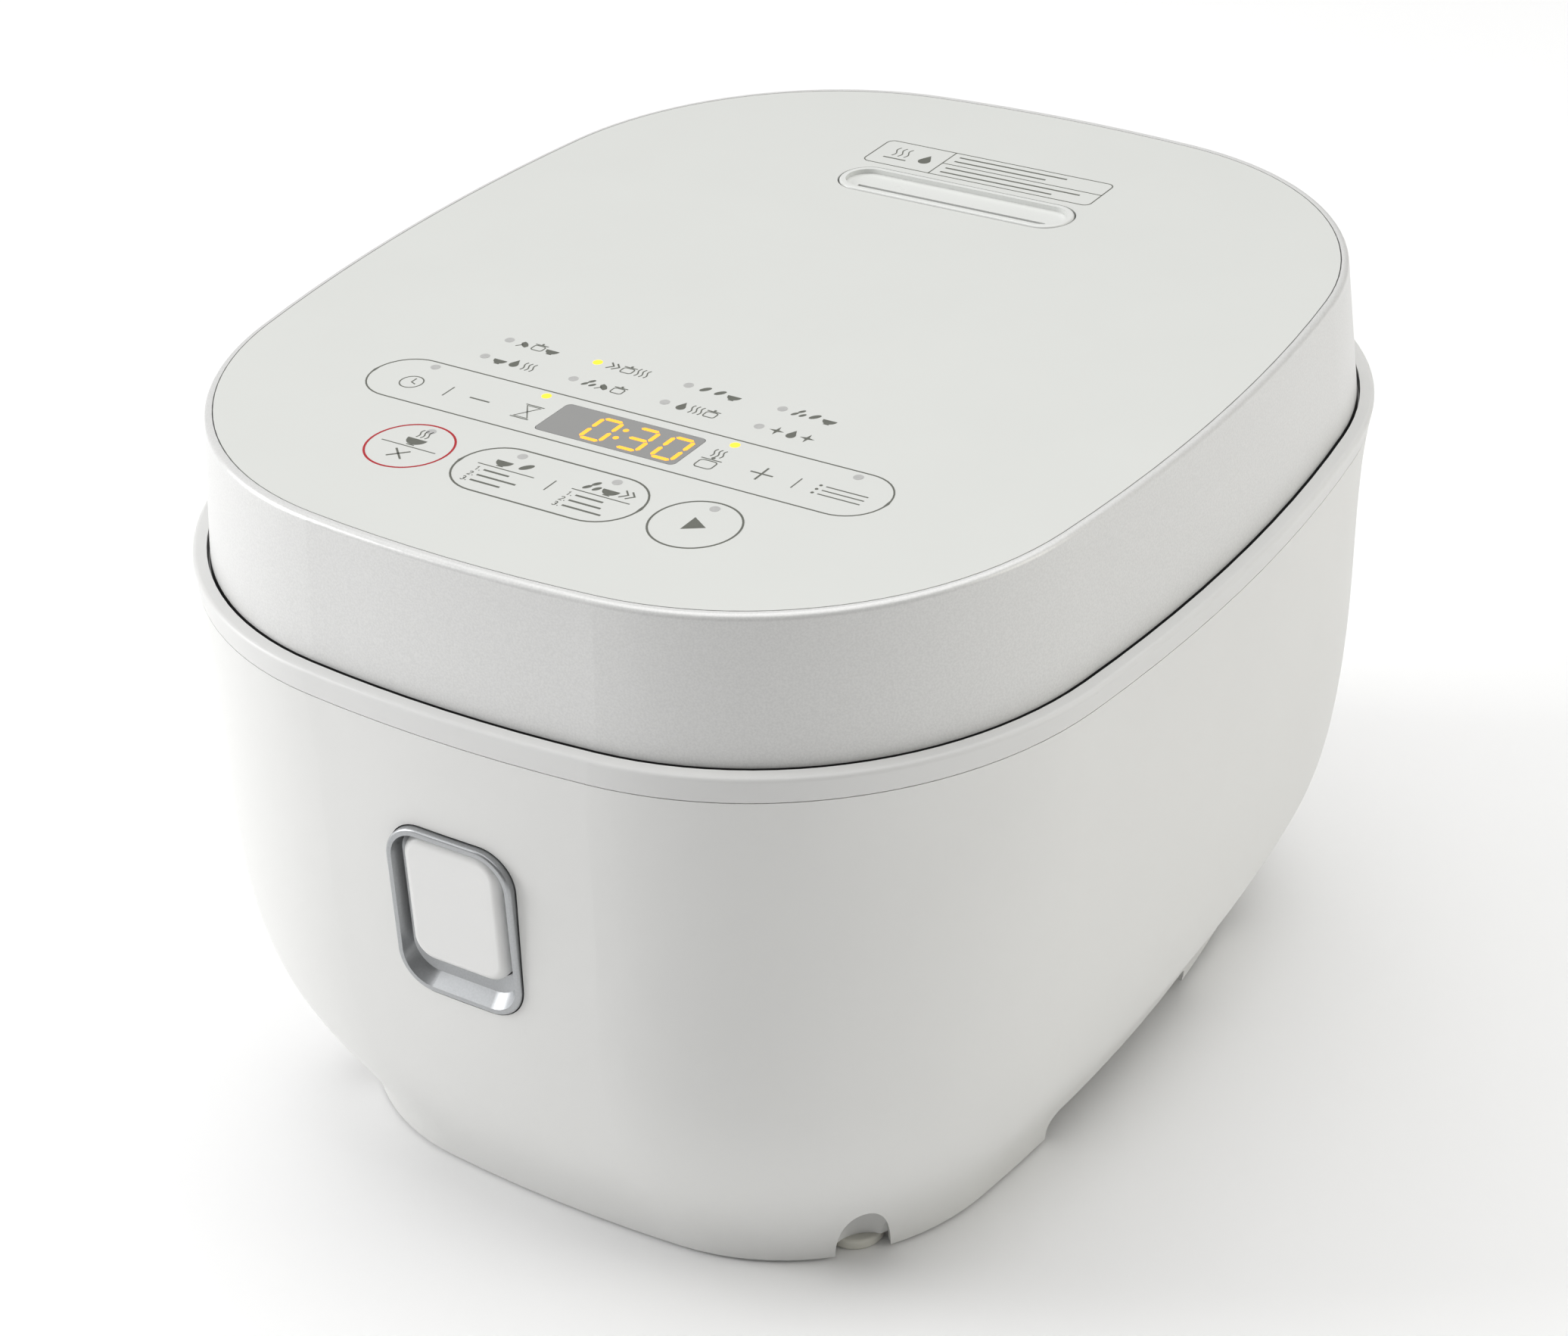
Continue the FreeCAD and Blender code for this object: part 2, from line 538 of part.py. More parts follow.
def make_inner_lid():
    edge_z = "lid_base_z - 1.2"
    sheet = turned([("0", f"{edge_z} - 1.4"), ("inner_lid_radius - 20", f"{edge_z} - 1.4"),
                    ("inner_lid_radius - 14", edge_z), ("inner_lid_radius", edge_z),
                    ("inner_lid_radius", f"{edge_z} + inner_lid_sheet"),
                    ("inner_lid_radius - 14.3", f"{edge_z} + inner_lid_sheet"),
                    ("inner_lid_radius - 20.3", f"{edge_z} + inner_lid_sheet - 1.4"),
                    ("0", f"{edge_z} + inner_lid_sheet - 1.4")], "inner_lid_blank", y="pot_y")
    holes = [rod("2", (f"{9 * k}", "vent_y - 5.7", "lid_base_z - 4"), "6") for k in (-1, 0, 1)]
    node(cut(sheet, *holes), "inner_lid")
    top = "lid_base_z - 0.1"
    seal = turned([("inner_lid_radius - 1.6", top), ("pot_radius + seal_overlap", top),
                   ("pot_radius + seal_overlap", "seal_z + 0.8"),
                   ("pot_radius + seal_overlap - 1.5", "seal_z"),
                   ("pot_radius + seal_overlap - 3", "seal_z + 0.8"),
                   ("inner_lid_radius - 1.6", f"{edge_z} - 0.5"),
                   ("inner_lid_radius - 1.6", f"{edge_z} - 0.05"),
                   ("inner_lid_radius + 0.05", f"{edge_z} - 0.05"),
                   ("inner_lid_radius + 0.05", f"{edge_z} + inner_lid_sheet + 0.05"),
                   ("inner_lid_radius - 1.6", f"{edge_z} + inner_lid_sheet + 0.05")],
                  "inner_lid_seal", y="pot_y")
    node(seal, "inner_lid_seal")
    near = "pot_y - pot_radius - seal_overlap"
    release = box(("-13", "13"), (f"{near} - 9.4", f"{near} - 0.4"), ("seal_z + 0.6", "lid_base_z - 0.1"))
    node(rounded(release, 1.0, lambda edge: edge.BoundBox.ZLength > 2), "inner_lid_release")


def make_lid_catch():
    plate = box(("-latch_width / 2", "latch_width / 2"), ("catch_y", "catch_y + 3"),
                ("latch_z + 12", "lid_base_z"))
    lip = box(("-latch_width / 2", "latch_width / 2"), ("catch_y - 4", "catch_y + 1"),
              ("latch_z + 12", "latch_z + 15"))
    node(fuse(plate, lip), "lid_catch")


# ---------------------------------------------------------------------------------------
# Body
# ---------------------------------------------------------------------------------------
def make_rim_ring():
    """The frame round the lid, with the deck that carries the pot and the inner case."""
    outer = body_form().common(between(s.parting_z, s.rim_z))
    top_edges = [edge for edge in outer.Edges if edge.BoundBox.ZMin > s.rim_z - 0.01]
    outer = outer.makeFillet(s.ring_round, top_edges)
    lip = body_form(s.shell_wall + 0.3).common(between(s.parting_z - 7, s.parting_z + 0.5))
    inside = skirt_grow(s.skirt_z) + s.ring_clearance - 0.3
    ring = outer.fuse(lip)
    ring = ring.cut(slab(s.skirt_z - 1, s.rim_z + 1, inside, s.skirt_side_inset))
    ring = ring.cut(slab(s.deck_z, s.skirt_z, inside - 2.1, s.skirt_side_inset))
    ring = ring.cut(slab(s.parting_z - 8, s.deck_low, inside - 3, s.skirt_side_inset))
    ring = ring.cut(Part.makeCylinder(s.pot_outer + 1, 20, Vector(0, s.pot_y, s.deck_low - 5)))
    half_slot = s.latch_width / 2 + 1.8
    ring = ring.cut(Part.makeBox(2 * half_slot, 13, 10, Vector(-half_slot, s.catch_y - 8.5, s.deck_low - 4)))
    ring = ring.cut(knuckle_room())
    for side in (-1, 1):
        low_x = min(side * s.bracket_near, side * s.bracket_far)
        for deep, tall in ((2, 12), (12, s.bracket_foot)):
            corner = Vector(low_x, s.hinge_y - deep, s.deck_z)
            ring = ring.cut(Part.makeBox(s.bracket_width, 12, tall, corner))
    for x, y in case_screw_places():
        ring = ring.cut(Part.makeCylinder(1.3, 8, Vector(x, y, s.deck_low - 2)))
    node(shaped(ring.removeSplitter(), "rim_ring"), "rim_ring")


def make_body_shell():
    form = body_form()
    shell = form.cut(body_form(s.shell_wall)).common(between(s.base_z, s.parting_z - s.parting_gap))
    wide = 2 * s.panel_half_width
    deep = s.rear_leg_y - s.front_leg_y
    side_gap = Part.makeBox(2 * wide, deep, s.side_edge_lift + 10,
                            Vector(-wide, s.front_leg_y, s.base_z - 10))
    side_gap = side_gap.makeFillet(4.5, [edge for edge in side_gap.Edges if edge.BoundBox.XLength > wide
                                         and edge.BoundBox.ZMin > s.base_z + 1])
    rear_gap = Part.makeBox(2 * wide, wide, s.side_edge_lift + 10,
                            Vector(-wide, s.rear_leg_end, s.base_z - 10))
    rear_gap = rear_gap.makeFillet(4.5, [edge for edge in rear_gap.Edges if edge.BoundBox.XLength > wide
                                         and edge.BoundBox.ZMin > s.base_z + 1
                                         and edge.BoundBox.YMax < s.rear_leg_end + 1])
    leg_gap = Part.makeBox(2 * wide, s.rear_leg_end - s.rear_leg_y + 2, s.leg_lift + 10,
                           Vector(-wide, s.rear_leg_y - 1, s.base_z - 10))
    shell = shell.cut(side_gap.fuse([rear_gap, leg_gap]))
    for x, y in foot_places()[:2]:
        shell = shell.cut(foot_notch(x, y))
    for x, y in post_places():
        away = math.degrees(math.atan2(y, x))
        post = Part.makeCylinder(4.0, 24, Vector(x, y, s.cover_top + 0.1))
        web = Part.makeBox(20, 3, 24, Vector(0, -1.5, 0))
        web.Placement = Placement(Vector(x, y, s.cover_top + 0.1), Rotation(AXES["Z"], away))
        post = post.fuse(web).common(form)
        shell = shell.fuse(post).cut(Part.makeCylinder(1.3, 12, Vector(x, y, s.cover_top)))
    half = s.bezel_width / 2 + 0.3
    opening = Part.Face(framed_wire(half, s.bezel_low - 0.3, s.bezel_top + 0.3, s.bezel_round + 0.3,
                                    s.bezel_y - 5)).extrude(Vector(0, 20, 0))
    inlet = Part.makeBox(2 * s.inlet_half_width - 3, 40, s.inlet_high - s.inlet_low - 3,
                         Vector(1.5 - s.inlet_half_width, s.hinge_y - 30, s.inlet_low + 1.5))
    shell = shell.cut(opening).cut(inlet).removeSplitter()
    node(shaped(shell, "body_shell"), "body_shell")


def foot_places():
    """Centres of the front feet, then the rear feet, measured in from the base outline."""
    half_width = s.panel_half_width + s.ring_grow - s.base_width_inset
    half_depth = s.panel_half_depth + s.ring_grow - s.base_depth_inset
    front_x, rear_x = half_width - s.front_foot_side_space, half_width - s.rear_foot_side_space
    front_y = s.front_foot_space - s.forward_lean - half_depth
    rear_y = half_depth - s.forward_lean - s.rear_foot_space
    return [(front_x, front_y), (-front_x, front_y), (rear_x, rear_y), (-rear_x, rear_y)]


def post_places():
    """Screw posts for the bottom cover, close inside the shell's wall."""
    x = s.panel_half_width + s.ring_grow - s.base_width_inset - 12.0
    return [(x, -18.0), (-x, -18.0), (x - 4, 22.0), (4 - x, 22.0)]


def foot_notch(x, y):
    """The tall round arch cut in a front corner, in front of the foot."""
    arc = Part.Ellipse(Vector(), s.notch_height, s.notch_half_width)
    arch = Part.Face(Part.Wire(arc.toShape())).extrude(Vector(0, 0, 40))
    outward = Rotation(AXES["Z"], -45 if x > 0 else -135)
    arch.Placement = Placement(Vector(x, y, s.base_z), outward * Rotation(AXES["Y"], 90))
    return arch


def make_bottom_cover():
    inner = body_form(s.shell_wall + s.cover_gap)
    cover = inner.common(between(s.cover_z, s.cover_top))
    low, high = s.front_foot_height, s.base_z + s.notch_height + 2
    room = inner.common(between(low, high))
    for x, y in foot_places()[:2]:
        out = math.copysign(s.foot_scallop_reach / math.sqrt(2), x)
        tower = Part.makeCylinder(s.front_foot_radius + 4, high - low, Vector(x, y, low))
        scallop = Part.makeCylinder(s.foot_scallop_radius, high, Vector(x + out, y - abs(out), 0))
        cover = cover.fuse(tower.common(room)).cut(scallop)
    for x, y in post_places():
        cover = cover.cut(Part.makeCylinder(1.5, 10, Vector(x, y, s.cover_z - 1)))
    for k in range(-4, 5):
        half = math.sqrt((s.fan_half - 6) ** 2 - (5.8 * k) ** 2)
        cover = cover.cut(Part.makeBox(2 * half, 2.6, 10,
                                       Vector(s.fan_x - half, s.fan_y + 5.8 * k - 1.3, s.cover_z - 1)))
        cover = cover.cut(Part.makeBox(34, 2.6, 10, Vector(18, s.fan_y + 5.8 * k - 1.3, s.cover_z - 1)))
    node(shaped(cover.removeSplitter(), "bottom_cover"), "bottom_cover")
    screws([(x, y, s.cover_z) for x, y in post_places()], 9.0, False, "bottom_screws")
    places = foot_places()
    for label, group, radius, top in (
        ("front_feet", places[:2], s.front_foot_radius, s.front_foot_height),
        ("rear_feet", places[2:], s.rear_foot_radius, s.cover_z),
    ):
        feet = []
        for x, y in group:
            foot = Part.makeCylinder(radius, top, Vector(x, y, 0))
            feet.append(foot.makeFillet(0.8, [edge for edge in foot.Edges if edge.BoundBox.ZLength < 0.01]))
        node(shaped(Part.makeCompound(feet), label), label)


def make_inner_case():
    floor = "case_floor - case_wall"
    blank = turned([("14", floor), ("case_outer", floor), ("case_outer", "deck_low - 2"),
                    ("case_rim", "deck_low - 2"), ("case_rim", "deck_low"), ("case_inner", "deck_low"),
                    ("case_inner", "case_floor"), ("14", "case_floor")], "inner_case_blank", y="pot_y")
    edge_round(blank, "pot_round + case_gap", ring_edge(s.case_inner, s.case_floor))
    edge_round(blank, "pot_round + case_gap + case_wall", ring_edge(s.case_outer, s.case_floor - s.case_wall))
    holes = [rod("1.5", (f"case_screw_radius * cos({turn})", f"pot_y + case_screw_radius * sin({turn})",
                         "deck_low - 3"), "4") for turn in range(0, 360, 60)]
    node(cut(blank, *holes), "inner_case")


def make_inner_pot():
    blank = turned([("0", "pot_floor_z"), ("pot_outer", "pot_floor_z"), ("pot_outer", "deck_z"),
                    ("pot_rim", "deck_z"), ("pot_rim", "pot_top"), ("pot_radius", "pot_top"),
                    ("pot_radius", "pot_floor_z + pot_wall"), ("0", "pot_floor_z + pot_wall")],
                   "inner_pot", y="pot_y")
    edge_round(blank, "pot_round - pot_wall", ring_edge(s.pot_radius, s.pot_floor_z + s.pot_wall))
    edge_round(blank, "pot_round", ring_edge(s.pot_outer, s.pot_floor_z))
    edge_round(blank, "0.9", ring_edge(s.pot_rim, s.pot_top))
    edge_round(blank, "1.4", ring_edge(s.pot_radius, s.pot_top))
    node(blank, "inner_pot")


def make_heating():
    """Coil carrier, litz winding, ferrite bars and the pot sensor."""
    carrier = turned([("20", "carrier_low"), ("pot_radius - 8", "carrier_low"),
                      ("pot_radius - 8", "carrier_top + 6"), ("pot_radius - 10", "carrier_top + 6"),
                      ("pot_radius - 10", "carrier_top"), ("20", "carrier_top")],
                     "coil_carrier", y="pot_y")
    node(carrier, "coil_carrier")
    pitch = 2 * s.coil_wire_radius + 0.4
    turns = int((s.pot_radius - 14 - s.coil_inner_radius) / pitch)
    rings = [Part.makeTorus(s.coil_inner_radius + pitch * (k + 0.5), s.coil_wire_radius,
                            Vector(0, s.pot_y, s.carrier_top + s.coil_wire_radius)) for k in range(turns)]
    node(shaped(Part.makeCompound(rings), "induction_coil"), "induction_coil")
    bars = []
    for k in range(6):
        bar = Part.makeBox(s.pot_radius - 14 - s.coil_inner_radius, 10, 6, Vector(s.coil_inner_radius, -5, 0))
        bar.Placement = Placement(Vector(0, s.pot_y, s.carrier_low - 6), Rotation(AXES["Z"], 60 * k + 30))
        bars.append(bar)
    node(shaped(Part.makeCompound(bars), "ferrite_bars"), "ferrite_bars")
    guide = turned([("4 + running_gap", "carrier_low - 8"), ("5.6", "carrier_low - 8"),
                    ("5.6", "carrier_low - 2"), ("24", "carrier_low - 2"), ("24", "carrier_low"),
                    ("5.6", "carrier_low"), ("5.6", "carrier_low + 4"),
                    ("4 + running_gap", "carrier_low + 4")], "sensor_guide", y="pot_y")
    node(guide, "sensor_guide")
    plunger = turned([("0", "pot_floor_z - 0.1"), ("11", "pot_floor_z - 0.1"), ("11", "pot_floor_z - 5"),
                      ("4", "pot_floor_z - 5"), ("4", "carrier_low - 12"), ("0", "carrier_low - 12")],
                     "sensor_plunger", y="pot_y")
    edge_round(plunger, "1", ring_edge(11, s.pot_floor_z - 0.1))
    node(plunger, "sensor_plunger")
    room = s.pot_floor_z - 5 - s.carrier_low
    spring = moved(coil_spring(7.0, 0.7, room - 1.6, 3), 0, s.pot_y, s.carrier_low + 0.8)
    node(shaped(spring, "sensor_spring"), "sensor_spring")


def case_screw_places():
    """Axes of the screws that hold the inner case up to the deck."""
    turns = [math.radians(turn) for turn in range(0, 360, 60)]
    return [(s.case_screw_radius * math.cos(turn), s.pot_y + s.case_screw_radius * math.sin(turn))
            for turn in turns]


def make_case_screws():
    places = [(x, y, s.deck_low - 2) for x, y in case_screw_places()]
    screws(places, 4.2, False, "case_screws", head_radius=2.4)


def make_fan():
    low, high = "cover_top", "cover_top + fan_height"
    frame = box(("fan_x - fan_half", "fan_x + fan_half"), ("fan_y - fan_half", "fan_y + fan_half"),
                (low, high))
    throat = rod("fan_half - 2", ("fan_x", "fan_y", low + " - 1"), "fan_height + 2")
    hub = rod("10", ("fan_x", "fan_y", low), "2")
    arms = [box(("fan_x - fan_half + 1", "fan_x + fan_half - 1"), ("fan_y - 1.5", "fan_y + 1.5"),
                (low, low + " + 2")),
            box(("fan_x - 1.5", "fan_x + 1.5"), ("fan_y - fan_half + 1", "fan_y + fan_half - 1"),
                (low, low + " + 2"))]
    shaft = rod("1.5", ("fan_x", "fan_y", low), "fan_height - 2")
    node(fuse(cut(frame, throat), hub, *arms, shaft), "fan_frame")
    base = s.cover_top + 3
    tall = s.fan_height - 4
    rotor = Part.makeCylinder(11, tall, Vector(0, 0, base))
    for k in range(7):
        blade = Part.makeBox(s.fan_half - 14, 1.4, tall + 1.5, Vector(10, -0.7, -(tall + 1.5) / 2))
        turn = Rotation(AXES["Z"], 360 / 7 * k) * Rotation(AXES["X"], 38)
        blade.Placement = Placement(Vector(0, 0, base + tall / 2), turn)
        rotor = rotor.fuse(blade)
    rotor = rotor.common(Part.makeCylinder(s.fan_half - 3, tall, Vector(0, 0, base)))
    rotor = rotor.cut(Part.makeCylinder(1.5 + s.running_gap, tall + 2, Vector(0, 0, base - 1)))
    rotor = rotor.removeSplitter()
    rotor.translate(Vector(s.fan_x, s.fan_y, 0))
    node(shaped(rotor, "fan_rotor"), "fan_rotor")


def make_power_board():
    top = "cover_top + 6 + board_thickness"
    board = box(("6", "66"), ("-62", "58"), ("cover_top + 6", top))
    node(board, "power_board")
    posts = [rod("3", (x, y, "cover_top"), "6") for x in ("10", "62") for y in ("-58", "54")]
    node(fuse(*posts), "board_posts")
    plate = box(("30", "62"), ("-20", "30"), (top, top + " + 3"))
    fins = [box((f"{30 + 5 * k}", f"{31.6 + 5 * k}"), ("-20", "30"), (top + " + 2", top + " + 9"))
            for k in range(7)]
    node(fuse(plate, *fins), "heat_sink")
    cans = [rod(radius, (x, y, top), tall) for radius, x, y, tall in
            (("6", "16", "-48", "9"), ("6", "16", "-32", "9"), ("4", "30", "-50", "8"))]
    blocks = [box(x, y, (top, f"{top} + {tall}")) for x, y, tall in
              ((("40", "60"), ("-56", "-40"), 9), (("10", "22"), ("-10", "6"), 8),
               (("10", "24"), ("34", "50"), 9))]
    node(fuse(*cans, *blocks), "power_components")


def make_inlet():
    rear = "hinge_y - 0.9"
    plate = box(("-inlet_half_width", "inlet_half_width"), (rear + " - 6", rear), ("inlet_low", "inlet_high"))
    flange = cut(plate, shaped(body_form(-s.inlet_seat_gap), "inlet_seat"))
    barrel = box(("1.8 - inlet_half_width", "inlet_half_width - 1.8"),
                 (rear + " - inlet_length", rear + " - 1"), ("inlet_low + 1.8", "inlet_high - 1.8"))
    socket = box(("-11", "11"), (rear + " - 18", rear + " + 1"), ("inlet_low + 5", "inlet_high - 5"))
    middle = "(inlet_low + inlet_high) / 2"
    holes = [rod("1.6", (x, rear + " - inlet_length - 1", middle), "inlet_length", "Y")
             for x in ("-6.5", "6.5")]
    node(cut(fuse(flange, barrel), socket, *holes), "power_inlet")
    pins = [rod("1.6", (x, rear + " - inlet_length - 6", middle), "inlet_length + 2", "Y")
            for x in ("-6.5", "6.5")]
    node(fuse(*pins), "inlet_pins")


def make_button():
    """The bezel with sloping inner walls and the release button that slides in it."""
    outer = framed_wire(s.bezel_width / 2, s.bezel_low, s.bezel_top, s.bezel_round, s.bezel_y)
    bezel = Part.Face(outer).extrude(Vector(0, s.bezel_depth, 0))
    front_edges = [edge for edge in bezel.Edges if edge.BoundBox.YMax < s.bezel_y + 0.01]
    bezel = bezel.makeFillet(0.7, front_edges)
    half = s.button_width / 2 + s.button_gap
    low, high = s.button_low - s.button_gap, s.button_top + s.button_gap
    corner = s.button_round + s.button_gap
    rim = s.bezel_rim
    mouth = (s.bezel_width / 2 - rim, s.bezel_low + rim, s.bezel_top - rim, s.bezel_round - rim)
    throat = (half, low, high, corner)
    bend = [0.6 * wide + 0.4 * narrow for wide, narrow in zip(mouth, throat)]
    depths = (0, 0.75 * s.scoop_depth, s.scoop_depth)
    wires = [framed_wire(*frame, s.bezel_y + depth) for frame, depth in zip((mouth, bend, throat), depths)]
    bezel = bezel.cut(Part.makeLoft(wires, True, True))
    bezel = bezel.cut(Part.Face(wires[2]).extrude(Vector(0, s.bezel_depth, 0)))
    node(shaped(bezel.removeSplitter(), "button_bezel"), "button_bezel")

    face = framed_wire(s.button_width / 2, s.button_low, s.button_top, s.button_round, s.button_y)
    back = s.collar_y
    button = Part.Face(face).extrude(Vector(0, back - s.button_y + 0.8, 0))
    front_edges = [edge for edge in button.Edges if edge.BoundBox.YMax < s.button_y + 0.01]
    button = button.makeFillet(2.2, front_edges)
    hollow = framed_wire(s.button_width / 2 - 2, s.button_low + 2, s.button_top - 2, s.button_round - 2,
                         s.button_y + 2.6)
    button = button.cut(Part.Face(hollow).extrude(Vector(0, 20, 0)))
    collar_edge = framed_wire(s.button_width / 2 + 2, s.button_low - 2, s.button_top + 1.6,
                              s.button_round, back)
    collar = Part.Face(collar_edge).extrude(Vector(0, 1.5, 0))
    stem_low = s.latch_z - s.latch_arm - 1 - s.stem_half
    window = framed_wire(9.5, s.button_low + 4, stem_low - 2, 2, back - 1)
    collar = collar.cut(Part.Face(window).extrude(Vector(0, 5, 0)))
    stem = Part.makeBox(6, s.latch_y - 5.5 - (s.button_y + 2), 2 * s.stem_half,
                        Vector(-3, s.button_y + 2, stem_low))
    button = button.fuse([collar, stem]).removeSplitter()
    node(shaped(button, "release_button"), "release_button")


def make_latch():
    """Rocking lever, its pin and bracket under the deck, and its return spring."""
    y, z = s.latch_y, s.latch_z
    half = s.latch_width / 2
    hub = Part.makeCylinder(4.0, 2 * half, Vector(-half, y, z), AXES["X"])
    corners = [(-5.2, -24), (-2.2, -24), (-2.2, -3), (-2.5, 3), (-6.3, 8), (-6.3, 15.2),
               (-4.2, 15.8), (-4.2, 19.2), (-9.3, 19.2), (-9.3, 6), (-5.2, 0)]
    ring = [Vector(-half, y + dy, z + dz) for dy, dz in corners]
    arm = Part.Face(Part.makePolygon(ring + ring[:1])).extrude(Vector(2 * half, 0, 0))
    bore = Part.makeCylinder(s.latch_pin_radius + s.running_gap, 4 * half, Vector(-2 * half, y, z), AXES["X"])
    node(shaped(hub.fuse(arm).cut(bore).removeSplitter(), "latch_lever"), "latch_lever")
    cheek = "latch_width / 2 + 2"
    outer = f"{cheek} + 2.5"
    sides = [box(across, ("latch_y - 4", "latch_y + 14"), ("latch_z - 24", "deck_low"))
             for across in ((f"-({outer})", f"-({cheek})"), (cheek, outer))]
    wall = box((f"-({outer})", outer), ("latch_y + 12", "latch_y + 14"), ("latch_z - 24", "deck_low"))
    eye = rod("latch_pin_radius", (f"-({outer}) - 1", "latch_y", "latch_z"), f"2 * ({outer}) + 2", "X")
    node(cut(fuse(*sides, wall), eye), "latch_bracket")
    node(rod("latch_pin_radius", (f"-({outer})", "latch_y", "latch_z"), f"2 * ({outer})", "X"), "latch_pin")
    spring = moved(coil_spring(3.0, 0.45, 12.4, 6), 0, y - 1.5, z - s.latch_arm + 3, "Y")
    node(shaped(spring, "latch_spring"), "latch_spring")


def make_body_hinge():
    for_bracket = []
    for side in ("-", ""):
        ends = (f"{side}bracket_far", f"{side}bracket_near") if side else ("bracket_near", "bracket_far")
        knuckle = rod("knuckle_radius", (ends[0], "hinge_y", "hinge_z"), "bracket_width", "X")
        post = box(ends, ("hinge_y - 2", "hinge_y + knuckle_radius"), ("parting_z", "hinge_z"))
        foot = box(ends, ("hinge_y - 12", "hinge_y - 4.5"), ("deck_z", "deck_z + bracket_foot"))
        step = box(ends, ("hinge_y - 12", "hinge_y - 2"), ("parting_z", "deck_z + bracket_foot"))
        for_bracket += [knuckle, post, foot, step]
    bore = rod("hinge_pin_radius", ("-bracket_far - 1", "hinge_y", "hinge_z"), "2 * bracket_far + 2", "X")
    node(cut(fuse(*for_bracket), bore), "hinge_bracket")
    node(rod("hinge_pin_radius", ("-bracket_far", "hinge_y", "hinge_z"), "2 * bracket_far", "X"), "hinge_pin")
    springs = []
    for side in (-1, 1):
        start = side * s.lid_knuckle_half + (0.8 if side > 0 else -0.8 - (s.spring_bay - 1.6))
        springs.append(moved(coil_spring(2.9, 0.45, s.spring_bay - 1.6, 6), start, s.hinge_y, s.hinge_z, "X"))
    node(shaped(Part.makeCompound(springs), "lid_springs"), "lid_springs")


# ---------------------------------------------------------------------------------------
# Assembly and export
# ---------------------------------------------------------------------------------------
make_lid_skirt()
make_top_panel()
make_display()
make_steam_vent()
make_lid_base()
make_hinge_arm()
make_inner_lid()
make_lid_catch()
make_rim_ring()
make_body_shell()
make_bottom_cover()
make_inner_case()
make_case_screws()
make_inner_pot()
make_heating()
make_fan()
make_power_board()
make_inlet()
make_button()
make_latch()
make_body_hinge()
doc.recompute()


def export():
    """Check every object and every sub-part, then write one STEP file for each sub-part."""
    failed = [item.Name for item in doc.Objects if {"Invalid", "Error"} & set(item.State)]
    if failed:
        raise RuntimeError(f"features failed: {failed}")
    for item in nodes:
        if item.Shape.isNull() or not item.Shape.isValid() or not item.Shape.Solids:
            raise RuntimeError(f"{item.Label} has no valid solid")
    for item in nodes:
        item.Shape.exportStep(f"parts/{item.Label}.step")
        room = item.Shape.BoundBox
        print(f"{item.Label:18s} {len(item.Shape.Solids)} solid(s) {item.Shape.Volume / 1000:8.2f} cm3 "
              f"x {room.XMin:.1f}..{room.XMax:.1f} y {room.YMin:.1f}..{room.YMax:.1f} "
              f"z {room.ZMin:.1f}..{room.ZMax:.1f}")


export()
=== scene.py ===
"""Looks of the rice cooker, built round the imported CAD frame.  Everything is in metres."""
import json
import math
import bpy
from mathutils import Matrix, Vector


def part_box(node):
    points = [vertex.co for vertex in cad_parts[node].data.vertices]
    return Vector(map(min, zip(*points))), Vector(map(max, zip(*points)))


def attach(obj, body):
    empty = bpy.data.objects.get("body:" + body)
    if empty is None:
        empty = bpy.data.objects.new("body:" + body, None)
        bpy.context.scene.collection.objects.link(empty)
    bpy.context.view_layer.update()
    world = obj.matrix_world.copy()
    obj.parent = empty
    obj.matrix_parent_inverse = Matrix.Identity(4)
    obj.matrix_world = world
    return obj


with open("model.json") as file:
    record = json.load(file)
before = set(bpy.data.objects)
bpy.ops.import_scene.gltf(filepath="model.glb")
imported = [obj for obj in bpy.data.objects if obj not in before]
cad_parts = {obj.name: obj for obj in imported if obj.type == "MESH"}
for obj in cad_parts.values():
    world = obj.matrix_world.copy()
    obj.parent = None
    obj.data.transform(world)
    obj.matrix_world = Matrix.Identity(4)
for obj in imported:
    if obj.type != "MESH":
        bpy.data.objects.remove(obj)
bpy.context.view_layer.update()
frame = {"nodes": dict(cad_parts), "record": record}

MM = 0.001
nodes = frame["nodes"]


